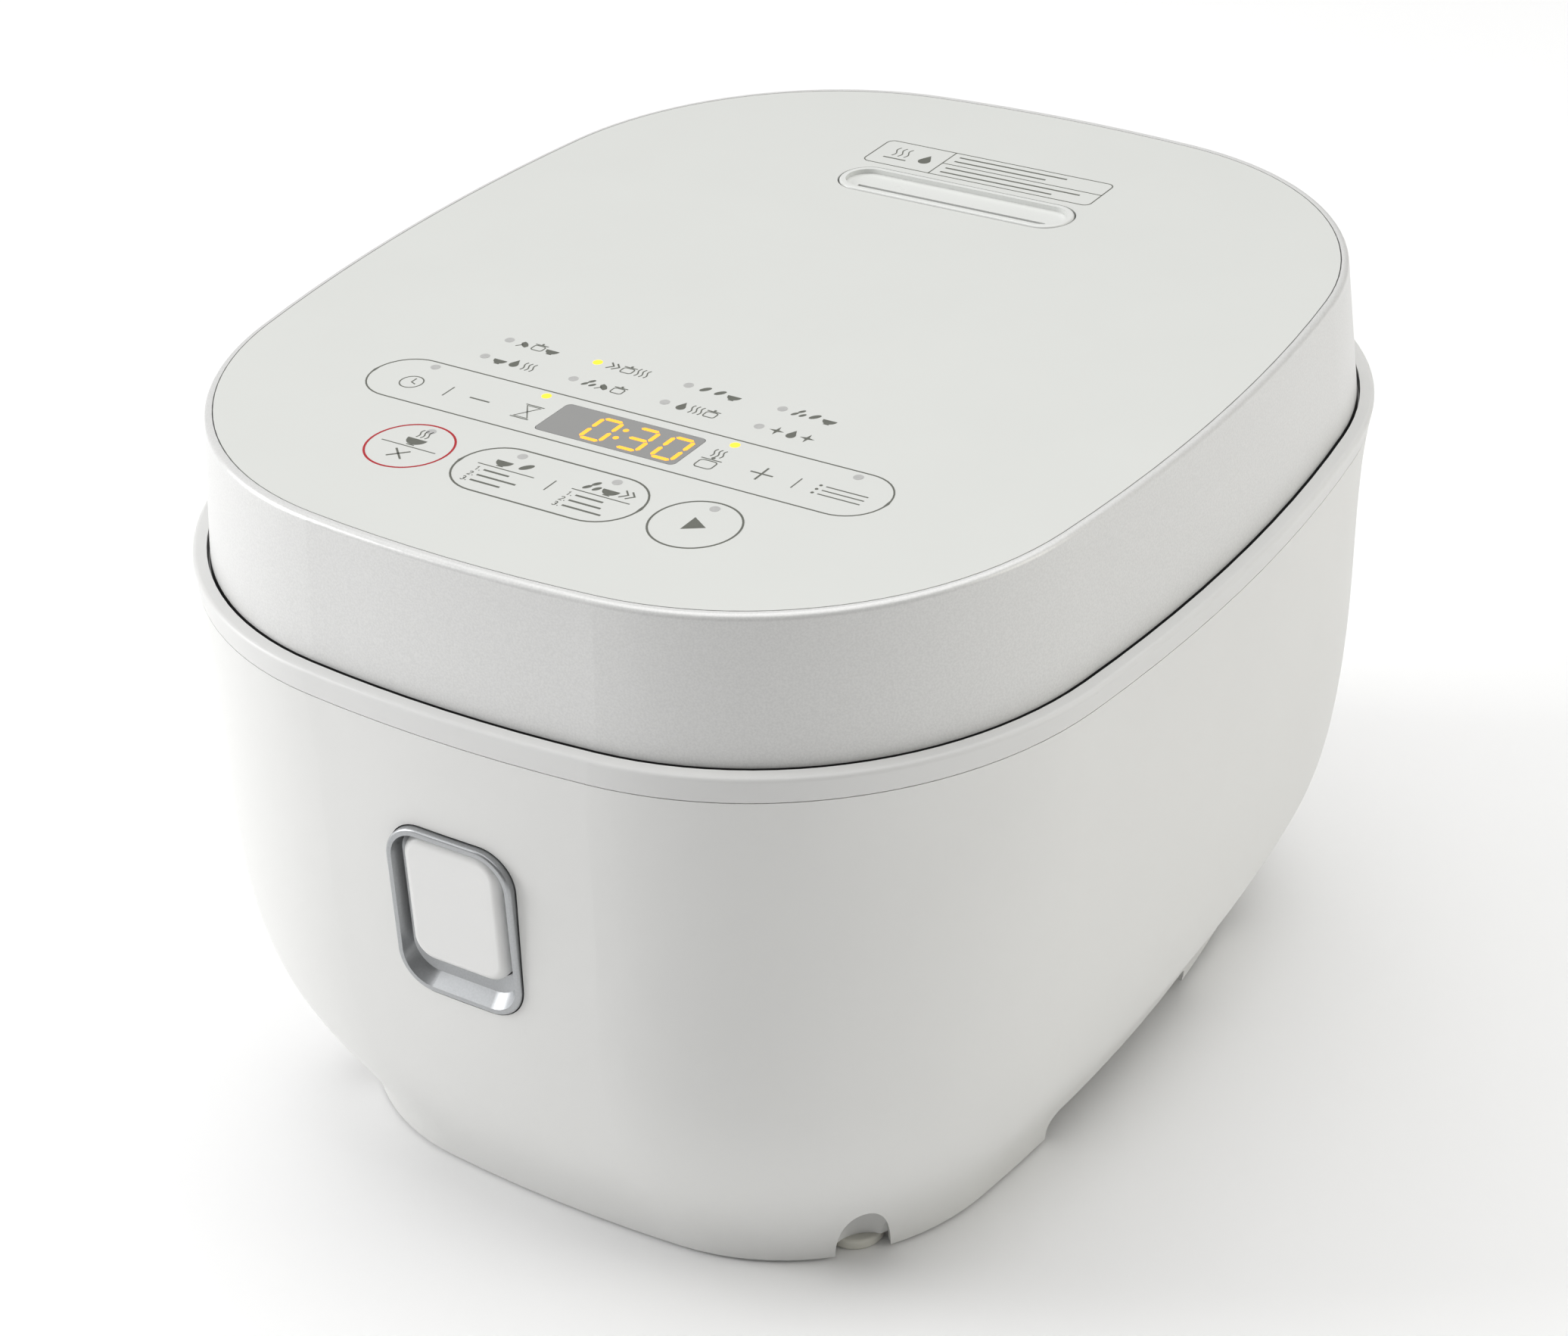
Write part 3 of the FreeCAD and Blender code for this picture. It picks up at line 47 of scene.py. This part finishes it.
# ---------------------------------------------------------------------------------------
# Materials: every one is procedural, in object coordinates, so its grain has a real size
# ---------------------------------------------------------------------------------------
class Shader:
    """A material under construction, with short calls for the nodes used here."""

    def __init__(self, name, roughness=0.5, metallic=0.0, **sockets):
        self.material = bpy.data.materials.new(name)
        self.material.use_nodes = True
        self.tree = self.material.node_tree
        self.surface = self.tree.nodes["Principled BSDF"]
        self.surface.inputs["Roughness"].default_value = roughness
        self.surface.inputs["Metallic"].default_value = metallic
        for socket, value in sockets.items():
            self.surface.inputs[socket.replace("_", " ")].default_value = value
        self.where = self.add("ShaderNodeTexCoord").outputs["Object"]

    def add(self, kind, **inputs):
        node = self.tree.nodes.new(kind)
        for socket, value in inputs.items():
            self.feed(value, node.inputs[socket.replace("_", " ")])
        return node

    def feed(self, value, socket):
        if isinstance(value, bpy.types.NodeSocket):
            self.tree.links.new(value, socket)
        else:
            socket.default_value = value

    def noise(self, size, detail=2.0, stretch=(1, 1, 1)):
        """Noise whose blotches are about `size` metres across."""
        scale = self.add("ShaderNodeMapping", Vector=self.where, Scale=[k / size for k in stretch])
        return self.add("ShaderNodeTexNoise", Vector=scale.outputs["Vector"], Scale=1.0,
                        Detail=detail).outputs["Fac"]

    def above(self, height):
        """0 below a height in the node's own coordinates and 1 above it, with a 0.1 mm step."""
        split = self.add("ShaderNodeSeparateXYZ", Vector=self.where)
        step = self.add("ShaderNodeMapRange", Value=split.outputs["Z"])
        step.inputs["From Min"].default_value = height - 0.05 * MM
        step.inputs["From Max"].default_value = height + 0.05 * MM
        return step.outputs["Result"]

    def ramp(self, fac, *stops):
        """Map a value through two (place, colour) stops."""
        node = self.add("ShaderNodeValToRGB", Fac=fac)
        for element, (place, colour) in zip(node.color_ramp.elements, stops):
            element.position = place
            element.color = (*colour, 1.0)
        return node.outputs["Color"]

    def span(self, fac, low, high):
        """Map 0..1 to low..high."""
        node = self.add("ShaderNodeMapRange", Value=fac)
        node.inputs["To Min"].default_value = low
        node.inputs["To Max"].default_value = high
        return node.outputs["Result"]

    def colour(self, fac, first, second):
        self.feed(self.ramp(fac, (0.3, first), (0.7, second)), self.surface.inputs["Base Color"])
        return self

    def rough(self, fac, low, high):
        self.feed(self.span(fac, low, high), self.surface.inputs["Roughness"])
        return self

    def bump(self, height, depth, strength=1.0):
        """Raise the surface by up to `depth` metres where height is 1."""
        node = self.add("ShaderNodeBump", Height=height, Strength=strength, Distance=depth)
        self.feed(node.outputs["Normal"], self.surface.inputs["Normal"])
        return self


def shade(colour, factor):
    """The same hue, darker by a factor."""
    return tuple(channel * factor for channel in colour)


def moulded(name, colour, grain=0.0004, depth=0.00001, roughness=(0.42, 0.52), **sockets):
    """Injection-moulded plastic: spark-eroded grain and a faint unevenness of tone."""
    made = Shader(name, **sockets)
    made.colour(made.noise(0.035, 3.0), shade(colour, 0.985), colour)
    made.rough(made.noise(grain * 3), *roughness)
    return made.bump(made.noise(grain, 4.0), depth).material


def pearl(name, colour, gap_shade_colour, gap_shade_top):
    """Pearl lacquer with fine flakes; the band sitting down in the rim is near-black painted shade.
    """
    made = Shader(name, roughness=0.34, metallic=0.16, Coat_Weight=0.2, Coat_Roughness=0.3)
    flakes = made.noise(0.0005, 4.0)
    lacquer = made.ramp(flakes, (0.35, shade(colour, 0.91)), (0.65, colour))
    # Below the given height the colour is near-black: painted shade of the gap between lid and rim
    # ring.
    mix = made.add("ShaderNodeMix")
    mix.data_type = "RGBA"
    made.feed(made.above(gap_shade_top), mix.inputs["Factor"])
    made.feed((*gap_shade_colour, 1.0), mix.inputs["A"])
    made.feed(lacquer, mix.inputs["B"])
    made.feed(mix.outputs["Result"], made.surface.inputs["Base Color"])
    made.rough(flakes, 0.30, 0.42)
    return made.bump(flakes, 0.000008, 0.5).material


def metal(name, colour, roughness=(0.25, 0.4), grain=(1, 1, 1), size=0.0008):
    """Bare or plated metal; `grain` stretches its fine lines along an axis."""
    made = Shader(name, metallic=1.0)
    lines = made.noise(size, 3.0, grain)
    made.colour(lines, shade(colour, 0.9), colour)
    made.rough(lines, *roughness)
    return made.bump(lines, 0.000004).material


def elastomer(name, colour):
    """Matt rubber or silicone."""
    made = Shader(name, roughness=0.7, Specular_IOR_Level=0.35)
    made.colour(made.noise(0.004, 3.0), shade(colour, 0.93), colour)
    return made.bump(made.noise(0.0005, 3.0), 0.00002).material


def ink(name, colour):
    """Screen-printed ink: matt, very slightly uneven."""
    made = Shader(name, roughness=0.45)
    made.colour(made.noise(0.0012, 2.0), shade(colour, 0.92), colour)
    return made.bump(made.noise(0.0003, 2.0), 0.000003).material


def lamp(name, colour, strength):
    """A lit lamp or segment: brighter and darker by a few percent across its face."""
    made = Shader(name, roughness=0.5)
    glow = made.ramp(made.noise(0.002, 1.0), (0.3, shade(colour, 0.94)), (0.7, colour))
    made.feed(glow, made.surface.inputs["Base Color"])
    made.feed(glow, made.surface.inputs["Emission Color"])
    made.surface.inputs["Emission Strength"].default_value = strength
    return made.material


WHITE = (0.785, 0.785, 0.77)
# The lid skirt is near-black up to this height above its lowest point: painted shade of the gap
# between lid and rim ring.
SKIRT_TUCK = 3.2 * MM
LOOKS = {
    "lid_pearl": pearl("lid_pearl", (0.735, 0.735, 0.725), (0.012, 0.012, 0.013),
                       min(point.co.z for point in nodes["lid_skirt"].data.vertices) + SKIRT_TUCK),
    "panel_white": moulded("panel_white", (0.70, 0.71, 0.685), 0.004, 0.000001, (0.18, 0.21),
                           Coat_Weight=0.4, Coat_Roughness=0.08),
    "steam_white": moulded("steam_white", (0.70, 0.71, 0.69), 0.004, 0.000001, (0.26, 0.30)),
    "body_white": moulded("body_white", WHITE, 0.00045, 0.000012, (0.46, 0.56)),
    "ring_white": moulded("ring_white", (0.74, 0.74, 0.73), 0.00045, 0.000008, (0.36, 0.44)),
    "window_grey": moulded("window_grey", (0.30, 0.30, 0.295), 0.0006, 0.000002, (0.16, 0.24)),
    "lid_under": moulded("lid_under", (0.62, 0.62, 0.61)),
    "metal_sheet": metal("metal_sheet", (0.72, 0.72, 0.72), (0.22, 0.34), (1, 30, 1)),
    "steel": metal("steel", (0.6, 0.6, 0.6)),
    "spring_steel": metal("spring_steel", (0.5, 0.5, 0.5)),
    "silicone": elastomer("silicone", (0.45, 0.46, 0.46)),
    "foot_rubber": elastomer("foot_rubber", (0.74, 0.73, 0.66)),
    "pot_coating": moulded("pot_coating", (0.03, 0.03, 0.032), 0.0006, 0.000006, (0.34, 0.46)),
    "case_grey": moulded("case_grey", (0.16, 0.16, 0.16)),
    "bezel_silver": metal("bezel_silver", (0.42, 0.43, 0.44), (0.36, 0.44), size=0.0005),
    "button_white": moulded("button_white", (0.82, 0.82, 0.81), 0.0005, 0.000004, (0.32, 0.4)),
    "board_green": moulded("board_green", (0.02, 0.12, 0.05)),
    "black_plastic": moulded("black_plastic", (0.03, 0.03, 0.032)),
    "copper_wire": metal("copper_wire", (0.62, 0.3, 0.14)),
    "ferrite": moulded("ferrite", (0.05, 0.05, 0.055)),
    "heat_sink": metal("heat_sink", (0.65, 0.66, 0.67), grain=(1, 1, 20)),
    "clear_guide": moulded("clear_guide", (0.7, 0.7, 0.68), roughness=(0.1, 0.2)),
    "inner_white": moulded("inner_white", (0.7, 0.7, 0.69)),
    "sensor_cap": metal("sensor_cap", (0.7, 0.7, 0.7)),
}
PRINT = ink("print_grey", (0.125, 0.13, 0.11))
PRINT_RED = ink("print_red", (0.42, 0.006, 0.014))
LAMP_OFF = ink("lamp_off", (0.46, 0.46, 0.45))
LAMP_ON = lamp("lamp_on", (1.0, 0.62, 0.03), 0.9)
SEGMENT = lamp("segment_lit", (1.0, 0.40, 0.03), 0.85)

for row in frame["record"]["subparts"]:
    piece = nodes[row["node"]]
    if not piece.material_slots:
        piece.data.materials.append(None)
    for material_slot in piece.material_slots:
        material_slot.material = LOOKS[row["material_slot"]]


# ---------------------------------------------------------------------------------------
# Printing on the top panel: thin raised ink, in millimetres from the middle of the panel
# ---------------------------------------------------------------------------------------
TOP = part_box("top_panel")[1].z
INK_BELOW, INK_ABOVE = 0.03 * MM, 0.04 * MM


class Sheet:
    """Flat shapes of one colour, gathered into one closed mesh of thin prisms."""

    def __init__(self, top=TOP):
        self.points, self.faces, self.top = [], [], top

    def prism(self, outer, inner=None):
        """A filled outline, or the band between two outlines with as many points."""
        start, count = len(self.points), len(outer)
        rings = [outer] if inner is None else [outer, inner]
        for level in (self.top - INK_BELOW, self.top + INK_ABOVE):
            for ring in rings:
                self.points += [(x * MM, y * MM, level) for x, y in ring]
        lift = count * len(rings)
        for ring in range(len(rings)):
            first = start + ring * count
            for k in range(count):
                a, b = first + k, first + (k + 1) % count
                side = (a, b, b + lift, a + lift)
                self.faces.append(side if ring == 0 else side[::-1])
        if inner is None:
            self.faces.append(tuple(range(start + lift, start + lift + count)))
            self.faces.append(tuple(range(start + count - 1, start - 1, -1)))
            return
        for k in range(count):
            a, b = start + k, start + (k + 1) % count
            self.faces.append((a + lift, b + lift, b + count + lift, a + count + lift))
            self.faces.append((b, a, a + count, b + count))

    def loop(self, points, width):
        """A closed outline drawn with a pen; the points run anticlockwise."""
        self.prism(offset(points, width / 2, True), offset(points, -width / 2, True))

    def line(self, points, width):
        """An open line drawn with a pen."""
        left, right = offset(points, -width / 2, False), offset(points, width / 2, False)
        self.prism(right + left[::-1])

    def disc(self, x, y, radius):
        self.prism(round_points(x, y, radius))

    def piece(self, name, material, slot, body="lid"):
        """Make the mesh and tie it to the body it moves with."""
        mesh = bpy.data.meshes.new(name)
        mesh.from_pydata(self.points, [], self.faces)
        mesh.validate()
        mesh.materials.append(material)
        made = bpy.data.objects.new(name, mesh)
        bpy.context.scene.collection.objects.link(made)
        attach(made, body)


def offset(points, distance, closed):
    """Move a line sideways, to its right when distance is positive, with mitred corners."""
    moved, count = [], len(points)
    for k, (x, y) in enumerate(points):
        before = points[(k - 1) % count] if closed or k > 0 else None
        after = points[(k + 1) % count] if closed or k < count - 1 else None
        normals = []
        for start, end in ((before, (x, y)), ((x, y), after)):
            if start is None or end is None:
                continue
            run = math.hypot(end[0] - start[0], end[1] - start[1]) or 1.0
            normals.append(((end[1] - start[1]) / run, -(end[0] - start[0]) / run))
        nx = sum(n[0] for n in normals) / len(normals)
        ny = sum(n[1] for n in normals) / len(normals)
        size = max(nx * nx + ny * ny, 0.3)
        moved.append((x + nx / size * distance, y + ny / size * distance))
    return moved


def arc_points(x, y, radius, start, end, steps=12):
    """Points along an arc; angles in degrees, anticlockwise when end is past start."""
    return [(x + radius * math.cos(math.radians(start + (end - start) * k / steps)),
             y + radius * math.sin(math.radians(start + (end - start) * k / steps)))
            for k in range(steps + 1)]


def round_points(x, y, radius, steps=28):
    return arc_points(x, y, radius, 0, 360 - 360 / steps, steps - 1)


def box_points(x0, x1, y0, y1, radius):
    """A rectangle with round corners, anticlockwise."""
    points = []
    for x, y, start in ((x1 - radius, y0 + radius, -90), (x1 - radius, y1 - radius, 0),
                        (x0 + radius, y1 - radius, 90), (x0 + radius, y0 + radius, 180)):
        points += arc_points(x, y, radius, start, start + 90, 10)
    return points


def oval_points(x, y, rx, ry, tilt=0.0, steps=16):
    """A tilted ellipse."""
    turn = math.radians(tilt)
    points = []
    for k in range(steps):
        u, v = rx * math.cos(2 * math.pi * k / steps), ry * math.sin(2 * math.pi * k / steps)
        points.append((x + u * math.cos(turn) - v * math.sin(turn),
                       y + u * math.sin(turn) + v * math.cos(turn)))
    return points


# Pen widths
FINE, THIN, FRAME, STROKE, RED_RING, BAR = 0.24, 0.32, 0.42, 0.5, 0.55, 0.62


def grain(sheet, x, y, size):
    sheet.prism(oval_points(x + size / 2, y, size * 0.42, size * 0.2, 50))


def grains(sheet, x, y, size):
    for dx, dy in ((0.25, -0.22), (0.5, 0.24), (0.8, -0.18)):
        sheet.prism(oval_points(x + size * dx, y + size * dy, size * 0.27, size * 0.13, 55))


def leaf(sheet, x, y, size):
    outline = arc_points(x + size * 0.1, y - size * 0.5, size * 0.8, 20, 75, 8)
    outline += arc_points(x + size * 0.93, y + size * 0.32, size * 0.8, 200, 255, 8)
    sheet.prism(outline)
    sheet.line([(x + size * 0.05, y - size * 0.5), (x + size * 0.4, y - size * 0.12)], THIN)


def chevrons(sheet, x, y, size):
    for shift in (0.0, 0.42):
        sheet.line([(x + size * (0.1 + shift), y + size * 0.4), (x + size * (0.48 + shift), y),
                    (x + size * (0.1 + shift), y - size * 0.4)], THIN * 1.3)


def bowl(sheet, x, y, size):
    sheet.prism(arc_points(x + size / 2, y + size * 0.02, size * 0.5, 180, 360, 14))
    sheet.line([(x + size * 0.3, y - size * 0.52), (x + size * 0.7, y - size * 0.52)], THIN)


def drop(sheet, x, y, size):
    sheet.prism(arc_points(x + size / 2, y - size * 0.14, size * 0.32, 150, 390, 14)
                + [(x + size / 2, y + size * 0.55)])


def steam(sheet, x, y, size):
    for k in range(3):
        middle = x + size * (0.15 + 0.35 * k)
        wave = [(middle + size * 0.09 * math.sin(2 * math.pi * t / 12), y + size * (t / 12 - 0.5))
                for t in range(13)]
        sheet.line(wave, THIN)


def sparkle(sheet, x, y, size):
    points = []
    for k in range(8):
        reach = size * (0.52 if k % 2 == 0 else 0.15)
        angle = math.pi * k / 4
        points.append((x + size / 2 + reach * math.cos(angle), y + reach * math.sin(angle)))
    sheet.prism(points)


def pot(sheet, x, y, size):
    vessel = box_points(x + size * 0.08, x + size * 0.92,
                        y - size * 0.45, y + size * 0.2, size * 0.18)
    sheet.loop(vessel, THIN)
    sheet.line([(x, y + size * 0.32), (x + size, y + size * 0.32)], THIN)
    sheet.disc(x + size / 2, y + size * 0.46, size * 0.09)


def clock(sheet, x, y, size):
    sheet.loop(round_points(x + size / 2, y, size * 0.48), THIN)
    sheet.line([(x + size / 2, y + size * 0.32), (x + size / 2, y),
                (x + size * 0.74, y - size * 0.1)], THIN)


def hourglass(sheet, x, y, size):
    for side in (1, -1):
        level = y + side * size * 0.5
        sheet.line([(x + size * 0.1, level), (x + size * 0.9, level)], THIN)
        rim = y + side * size * 0.42
        glass = [(x + size * 0.2, rim), (x + size * 0.8, rim), (x + size * 0.5, y)]
        sheet.loop(glass if side < 0 else glass[::-1], THIN)


def menu_rows(sheet, x, y, size, width):
    for k in (-1, 0, 1):
        sheet.disc(x + 0.5, y + k * size * 0.36, 0.42)
        sheet.line([(x + 1.9, y + k * size * 0.36), (x + width, y + k * size * 0.36)], THIN * 1.2)


def figure(sheet, digit, x, y, size):
    """The numbers 1, 2 and 3, drawn with a pen."""
    wide = size * 0.52
    if digit == 1:
        upright = x + wide * 0.6
        sheet.line([(x + wide * 0.2, y + size * 0.28), (upright, y + size / 2),
                    (upright, y - size / 2)], FINE)
    elif digit == 2:
        sheet.line(arc_points(x + wide / 2, y + size * 0.22, wide * 0.5, 165, -35, 8)
                   + [(x, y - size / 2), (x + wide, y - size / 2)], FINE)
    else:
        sheet.line(arc_points(x + wide * 0.4, y + size * 0.24, wide * 0.48, 150, -80, 8)
                   + arc_points(x + wide * 0.4, y - size * 0.24, wide * 0.5, 80, -150, 8), FINE)


def numbered_rows(sheet, x, y, pitch, lengths):
    """Numbered choices, each with a plain bar in place of words."""
    for k, length in enumerate(lengths):
        height = y - k * pitch
        figure(sheet, k + 1, x, height, 1.7)
        sheet.disc(x + 1.45, height - 0.7, 0.16)
        sheet.line([(x + 2.3, height), (x + 2.3 + length, height)], BAR)


# The touch panel's layout: programme lamps in columns, the long row of keys, then the round keys
COLUMNS = [26.7 * column for column in (-2, -1, 0, 1)]
PROGRAMMES = [(x, y) for x in COLUMNS for y in (-44.8, -54.8)]
WINDOW_LAMPS = [(side * x, -65.3) for x in (27.0, 60.5) for side in (-1, 1)]
KEY_LAMPS = [(side * x, -93.0) for x in (13.4, 40.1) for side in (-1, 1)]
LIT = [PROGRAMMES[2], WINDOW_LAMPS[0], WINDOW_LAMPS[1]]
LAMP_RADIUS = 1.25
ROW_Y, KEY_Y, KEY_X, KEY_RADIUS = -74.4, -101.0, 40.2, 10.7


def draw_panel():
    """Every print on the top panel, one sheet for each ink."""
    grey, red, off, on = Sheet(), Sheet(), Sheet(), Sheet()
    grey.loop(box_points(-73, 73, -83.2, -62.9, 10.15), FRAME)
    grey.loop(box_points(-25.5, 25.5, KEY_Y - KEY_RADIUS, KEY_Y + KEY_RADIUS, KEY_RADIUS), STROKE)
    grey.loop(round_points(KEY_X, KEY_Y, KEY_RADIUS, 56), STROKE)
    red.loop(round_points(-KEY_X, KEY_Y, KEY_RADIUS, 56), RED_RING)
    for place in PROGRAMMES + WINDOW_LAMPS + KEY_LAMPS:
        (on if place in LIT else off).disc(*place, LAMP_RADIUS)
    draw_programmes(grey)
    draw_long_row(grey)
    draw_keys(grey)
    draw_notice(grey)
    grey.piece("panel_print", PRINT, "panel_white")
    red.piece("cancel_ring", PRINT_RED, "panel_white")
    off.piece("lamps_off", LAMP_OFF, "panel_white")
    on.piece("lamps_on", LAMP_ON, "panel_white")


def draw_programmes(grey):
    """Cooking programmes, four columns of two, three small pictures each."""
    pictures = [(leaf, pot, bowl), (bowl, drop, steam), (chevrons, pot, steam), (grains, leaf, pot),
                (grain, grain, bowl), (drop, steam, pot), (grains, grain, bowl),
                (sparkle, drop, sparkle)]
    for (x, y), symbols in zip(PROGRAMMES, pictures):
        for k, symbol in enumerate(symbols):
            symbol(grey, x + 3.0 + 4.2 * k, y, 3.8)


def draw_long_row(grey):
    """The long row: timer, minus, remaining time, cooking, plus, menu."""
    clock(grey, -63.8, ROW_Y, 6.2)
    for x in (-49.6, 49.6):
        grey.line([(x, -76.7), (x, -71.8)], THIN)
    grey.line([(-43.0, ROW_Y), (-37.2, ROW_Y)], STROKE)
    plus_y, plus_reach = -74.2, 3.0
    grey.line([(KEY_X - plus_reach, plus_y), (KEY_X + plus_reach, plus_y)], STROKE)
    for side in (-1, 1):
        low, high = sorted((plus_y + side * STROKE / 2, plus_y + side * plus_reach))
        grey.line([(KEY_X, low), (KEY_X, high)], STROKE)
    hourglass(grey, -29.4, -74.2, 6.6)
    pot(grey, 23.4, -75.6, 5.6)
    steam(grey, 24.3, -70.6, 3.6)
    menu_rows(grey, 54.6, ROW_Y, 5.2, 13.0)


def draw_keys(grey):
    """The round keys: keep warm and cancel, rice kinds with numbered choices, start."""
    bowl(grey, -43.3, -97.6, 5.6)
    steam(grey, -42.3, -94.9, 3.6)
    grey.line([(-48.2, -101.4), (-32.4, -101.4)], THIN)
    for side in (1, -1):
        grey.line([(-42.3, -105.3 - side * 2.0), (-38.1, -105.3 + side * 2.0)], STROKE)
    bowl(grey, -17.6, -96.9, 4.6)
    grain(grey, -11.6, -96.9, 4.6)
    grey.line([(-20.8, -100.2), (-4.8, -100.2)], THIN)
    numbered_rows(grey, -19.8, -102.4, 2.6, (7.2, 11.0, 8.4))
    grains(grey, 7.4, -96.9, 4.6)
    bowl(grey, 12.4, -96.9, 4.6)
    chevrons(grey, 17.2, -96.9, 4.2)
    grey.line([(5.9, -100.2), (21.9, -100.2)], THIN)
    numbered_rows(grey, 6.2, -102.4, 2.6, (7.6, 8.8, 10.6))
    grey.line([(0.6, -103.8), (0.6, -98.9)], THIN)
    grey.prism([(38.4, -104.2), (43.2, -101.2), (38.4, -98.2)])


def draw_notice(grey):
    """The notice behind the steam vent: a framed symbol with plain bars."""
    grey.loop(box_points(-35.5, 34.0, 90.2, 105.3, 2.0), THIN)
    grey.line([(-14.6, 90.2), (-14.6, 105.3)], THIN)
    grey.line([(-14.6, 97.75), (34.0, 97.75)], THIN)
    steam(grey, -30.6, 99.0, 5.4)
    grey.line([(-31.4, 94.6), (-24.4, 94.6)], STROKE)
    drop(grey, -22.4, 97.4, 5.4)
    for y, length in ((102.9, 33.0), (100.1, 28.0), (95.3, 41.0), (92.5, 34.0)):
        grey.line([(-12.2, y), (-12.2 + length, y)], BAR)


def draw_clock_figures():
    """The time 0:30 in seven-segment figures behind the window."""
    lit = Sheet(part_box("display_lens")[1].z)
    segments = {"0": "abcdef", "3": "abcdg"}
    for digit, x in (("0", -7.8), ("3", 2.6), ("0", 12.4)):
        wide, low, high = 5.6, -78.6, -68.4
        middle, pen = (low + high) / 2, 1.15
        runs = {"a": ((x, high), (x + wide, high)), "d": ((x, low), (x + wide, low)),
                "g": ((x, middle), (x + wide, middle)), "b": ((x + wide, middle), (x + wide, high)),
                "c": ((x + wide, low), (x + wide, middle)), "e": ((x, low), (x, middle)),
                "f": ((x, middle), (x, high))}
        for letter in segments[digit]:
            lit.prism(segment_points(*runs[letter], pen))
    for y in (-71.1, -75.2):
        lit.disc(0.3, y, 0.75)
    lit.piece("clock_figures", SEGMENT, "window_grey")


def segment_points(start, end, pen):
    """A bar with pointed ends between two corners of a figure."""
    run = math.hypot(end[0] - start[0], end[1] - start[1])
    ux, uy = (end[0] - start[0]) / run, (end[1] - start[1]) / run
    half, gap = pen / 2, 0.28
    along = [(gap, 0), (gap + half, -half), (run - gap - half, -half), (run - gap, 0),
             (run - gap - half, half), (gap + half, half)]
    return [(start[0] + ux * u - uy * v, start[1] + uy * u + ux * v) for u, v in along]


draw_panel()
draw_clock_figures()


# ---------------------------------------------------------------------------------------
# Floor, light and camera
# ---------------------------------------------------------------------------------------
def make_floor():
    bpy.ops.mesh.primitive_plane_add(size=12.0, location=(0, 0, 0))
    floor = bpy.context.object
    floor.name = "floor"
    made = Shader("floor_white", roughness=0.9)
    made.colour(made.noise(0.6, 2.0), (0.92, 0.92, 0.92), (0.94, 0.94, 0.94))
    floor.data.materials.append(made.material)


def area_light(name, place, aim, size, power, colour=(1, 1, 1)):
    data = bpy.data.lights.new(name, "AREA")
    data.shape = "RECTANGLE"
    data.size, data.size_y = size
    data.energy = power
    data.color = colour
    made = bpy.data.objects.new(name, data)
    made.location = place
    made.rotation_euler = (Vector(aim) - Vector(place)).to_track_quat("-Z", "Y").to_euler()
    bpy.context.scene.collection.objects.link(made)


def make_lights():
    world = bpy.data.worlds.new("studio")
    world.use_nodes = True
    world.node_tree.nodes["Background"].inputs["Color"].default_value = (1.0, 1.0, 1.0, 1.0)
    world.node_tree.nodes["Background"].inputs["Strength"].default_value = 0.22
    bpy.context.scene.world = world
    area_light("overhead", (0.0, 0.35, 1.9), (0, 0.1, 0), (2.6, 2.2), 36)
    area_light("left", (-1.65, -0.85, 0.85), (0, 0, 0.1), (0.9, 1.2), 27)
    area_light("right", (1.8, 0.6, 0.8), (0, 0, 0.1), (0.9, 1.2), 9, (1.0, 0.98, 0.90))


def make_camera():
    """Front right, looking down on the lid; the rows are the camera's own right, up and back."""
    data = bpy.data.cameras.new("camera")
    data.sensor_width = 36.0  # millimetres, as is the lens
    data.lens = 78.73
    camera = bpy.data.objects.new("camera", data)
    right = Vector((0.83729, 0.54464, -0.0481))
    up = Vector((-0.24799, 0.45668, 0.85437))
    back = Vector((0.48729, -0.70342, 0.51744))
    place = Vector((0.4337, -0.6377, 0.364 + TOP))
    turn = Matrix((right, up, back)).transposed().to_4x4()
    camera.matrix_world = Matrix.Translation(place) @ turn
    bpy.context.scene.collection.objects.link(camera)
    bpy.context.scene.camera = camera


make_floor()
make_lights()
make_camera()
bpy.context.scene.view_settings.view_transform = "Standard"
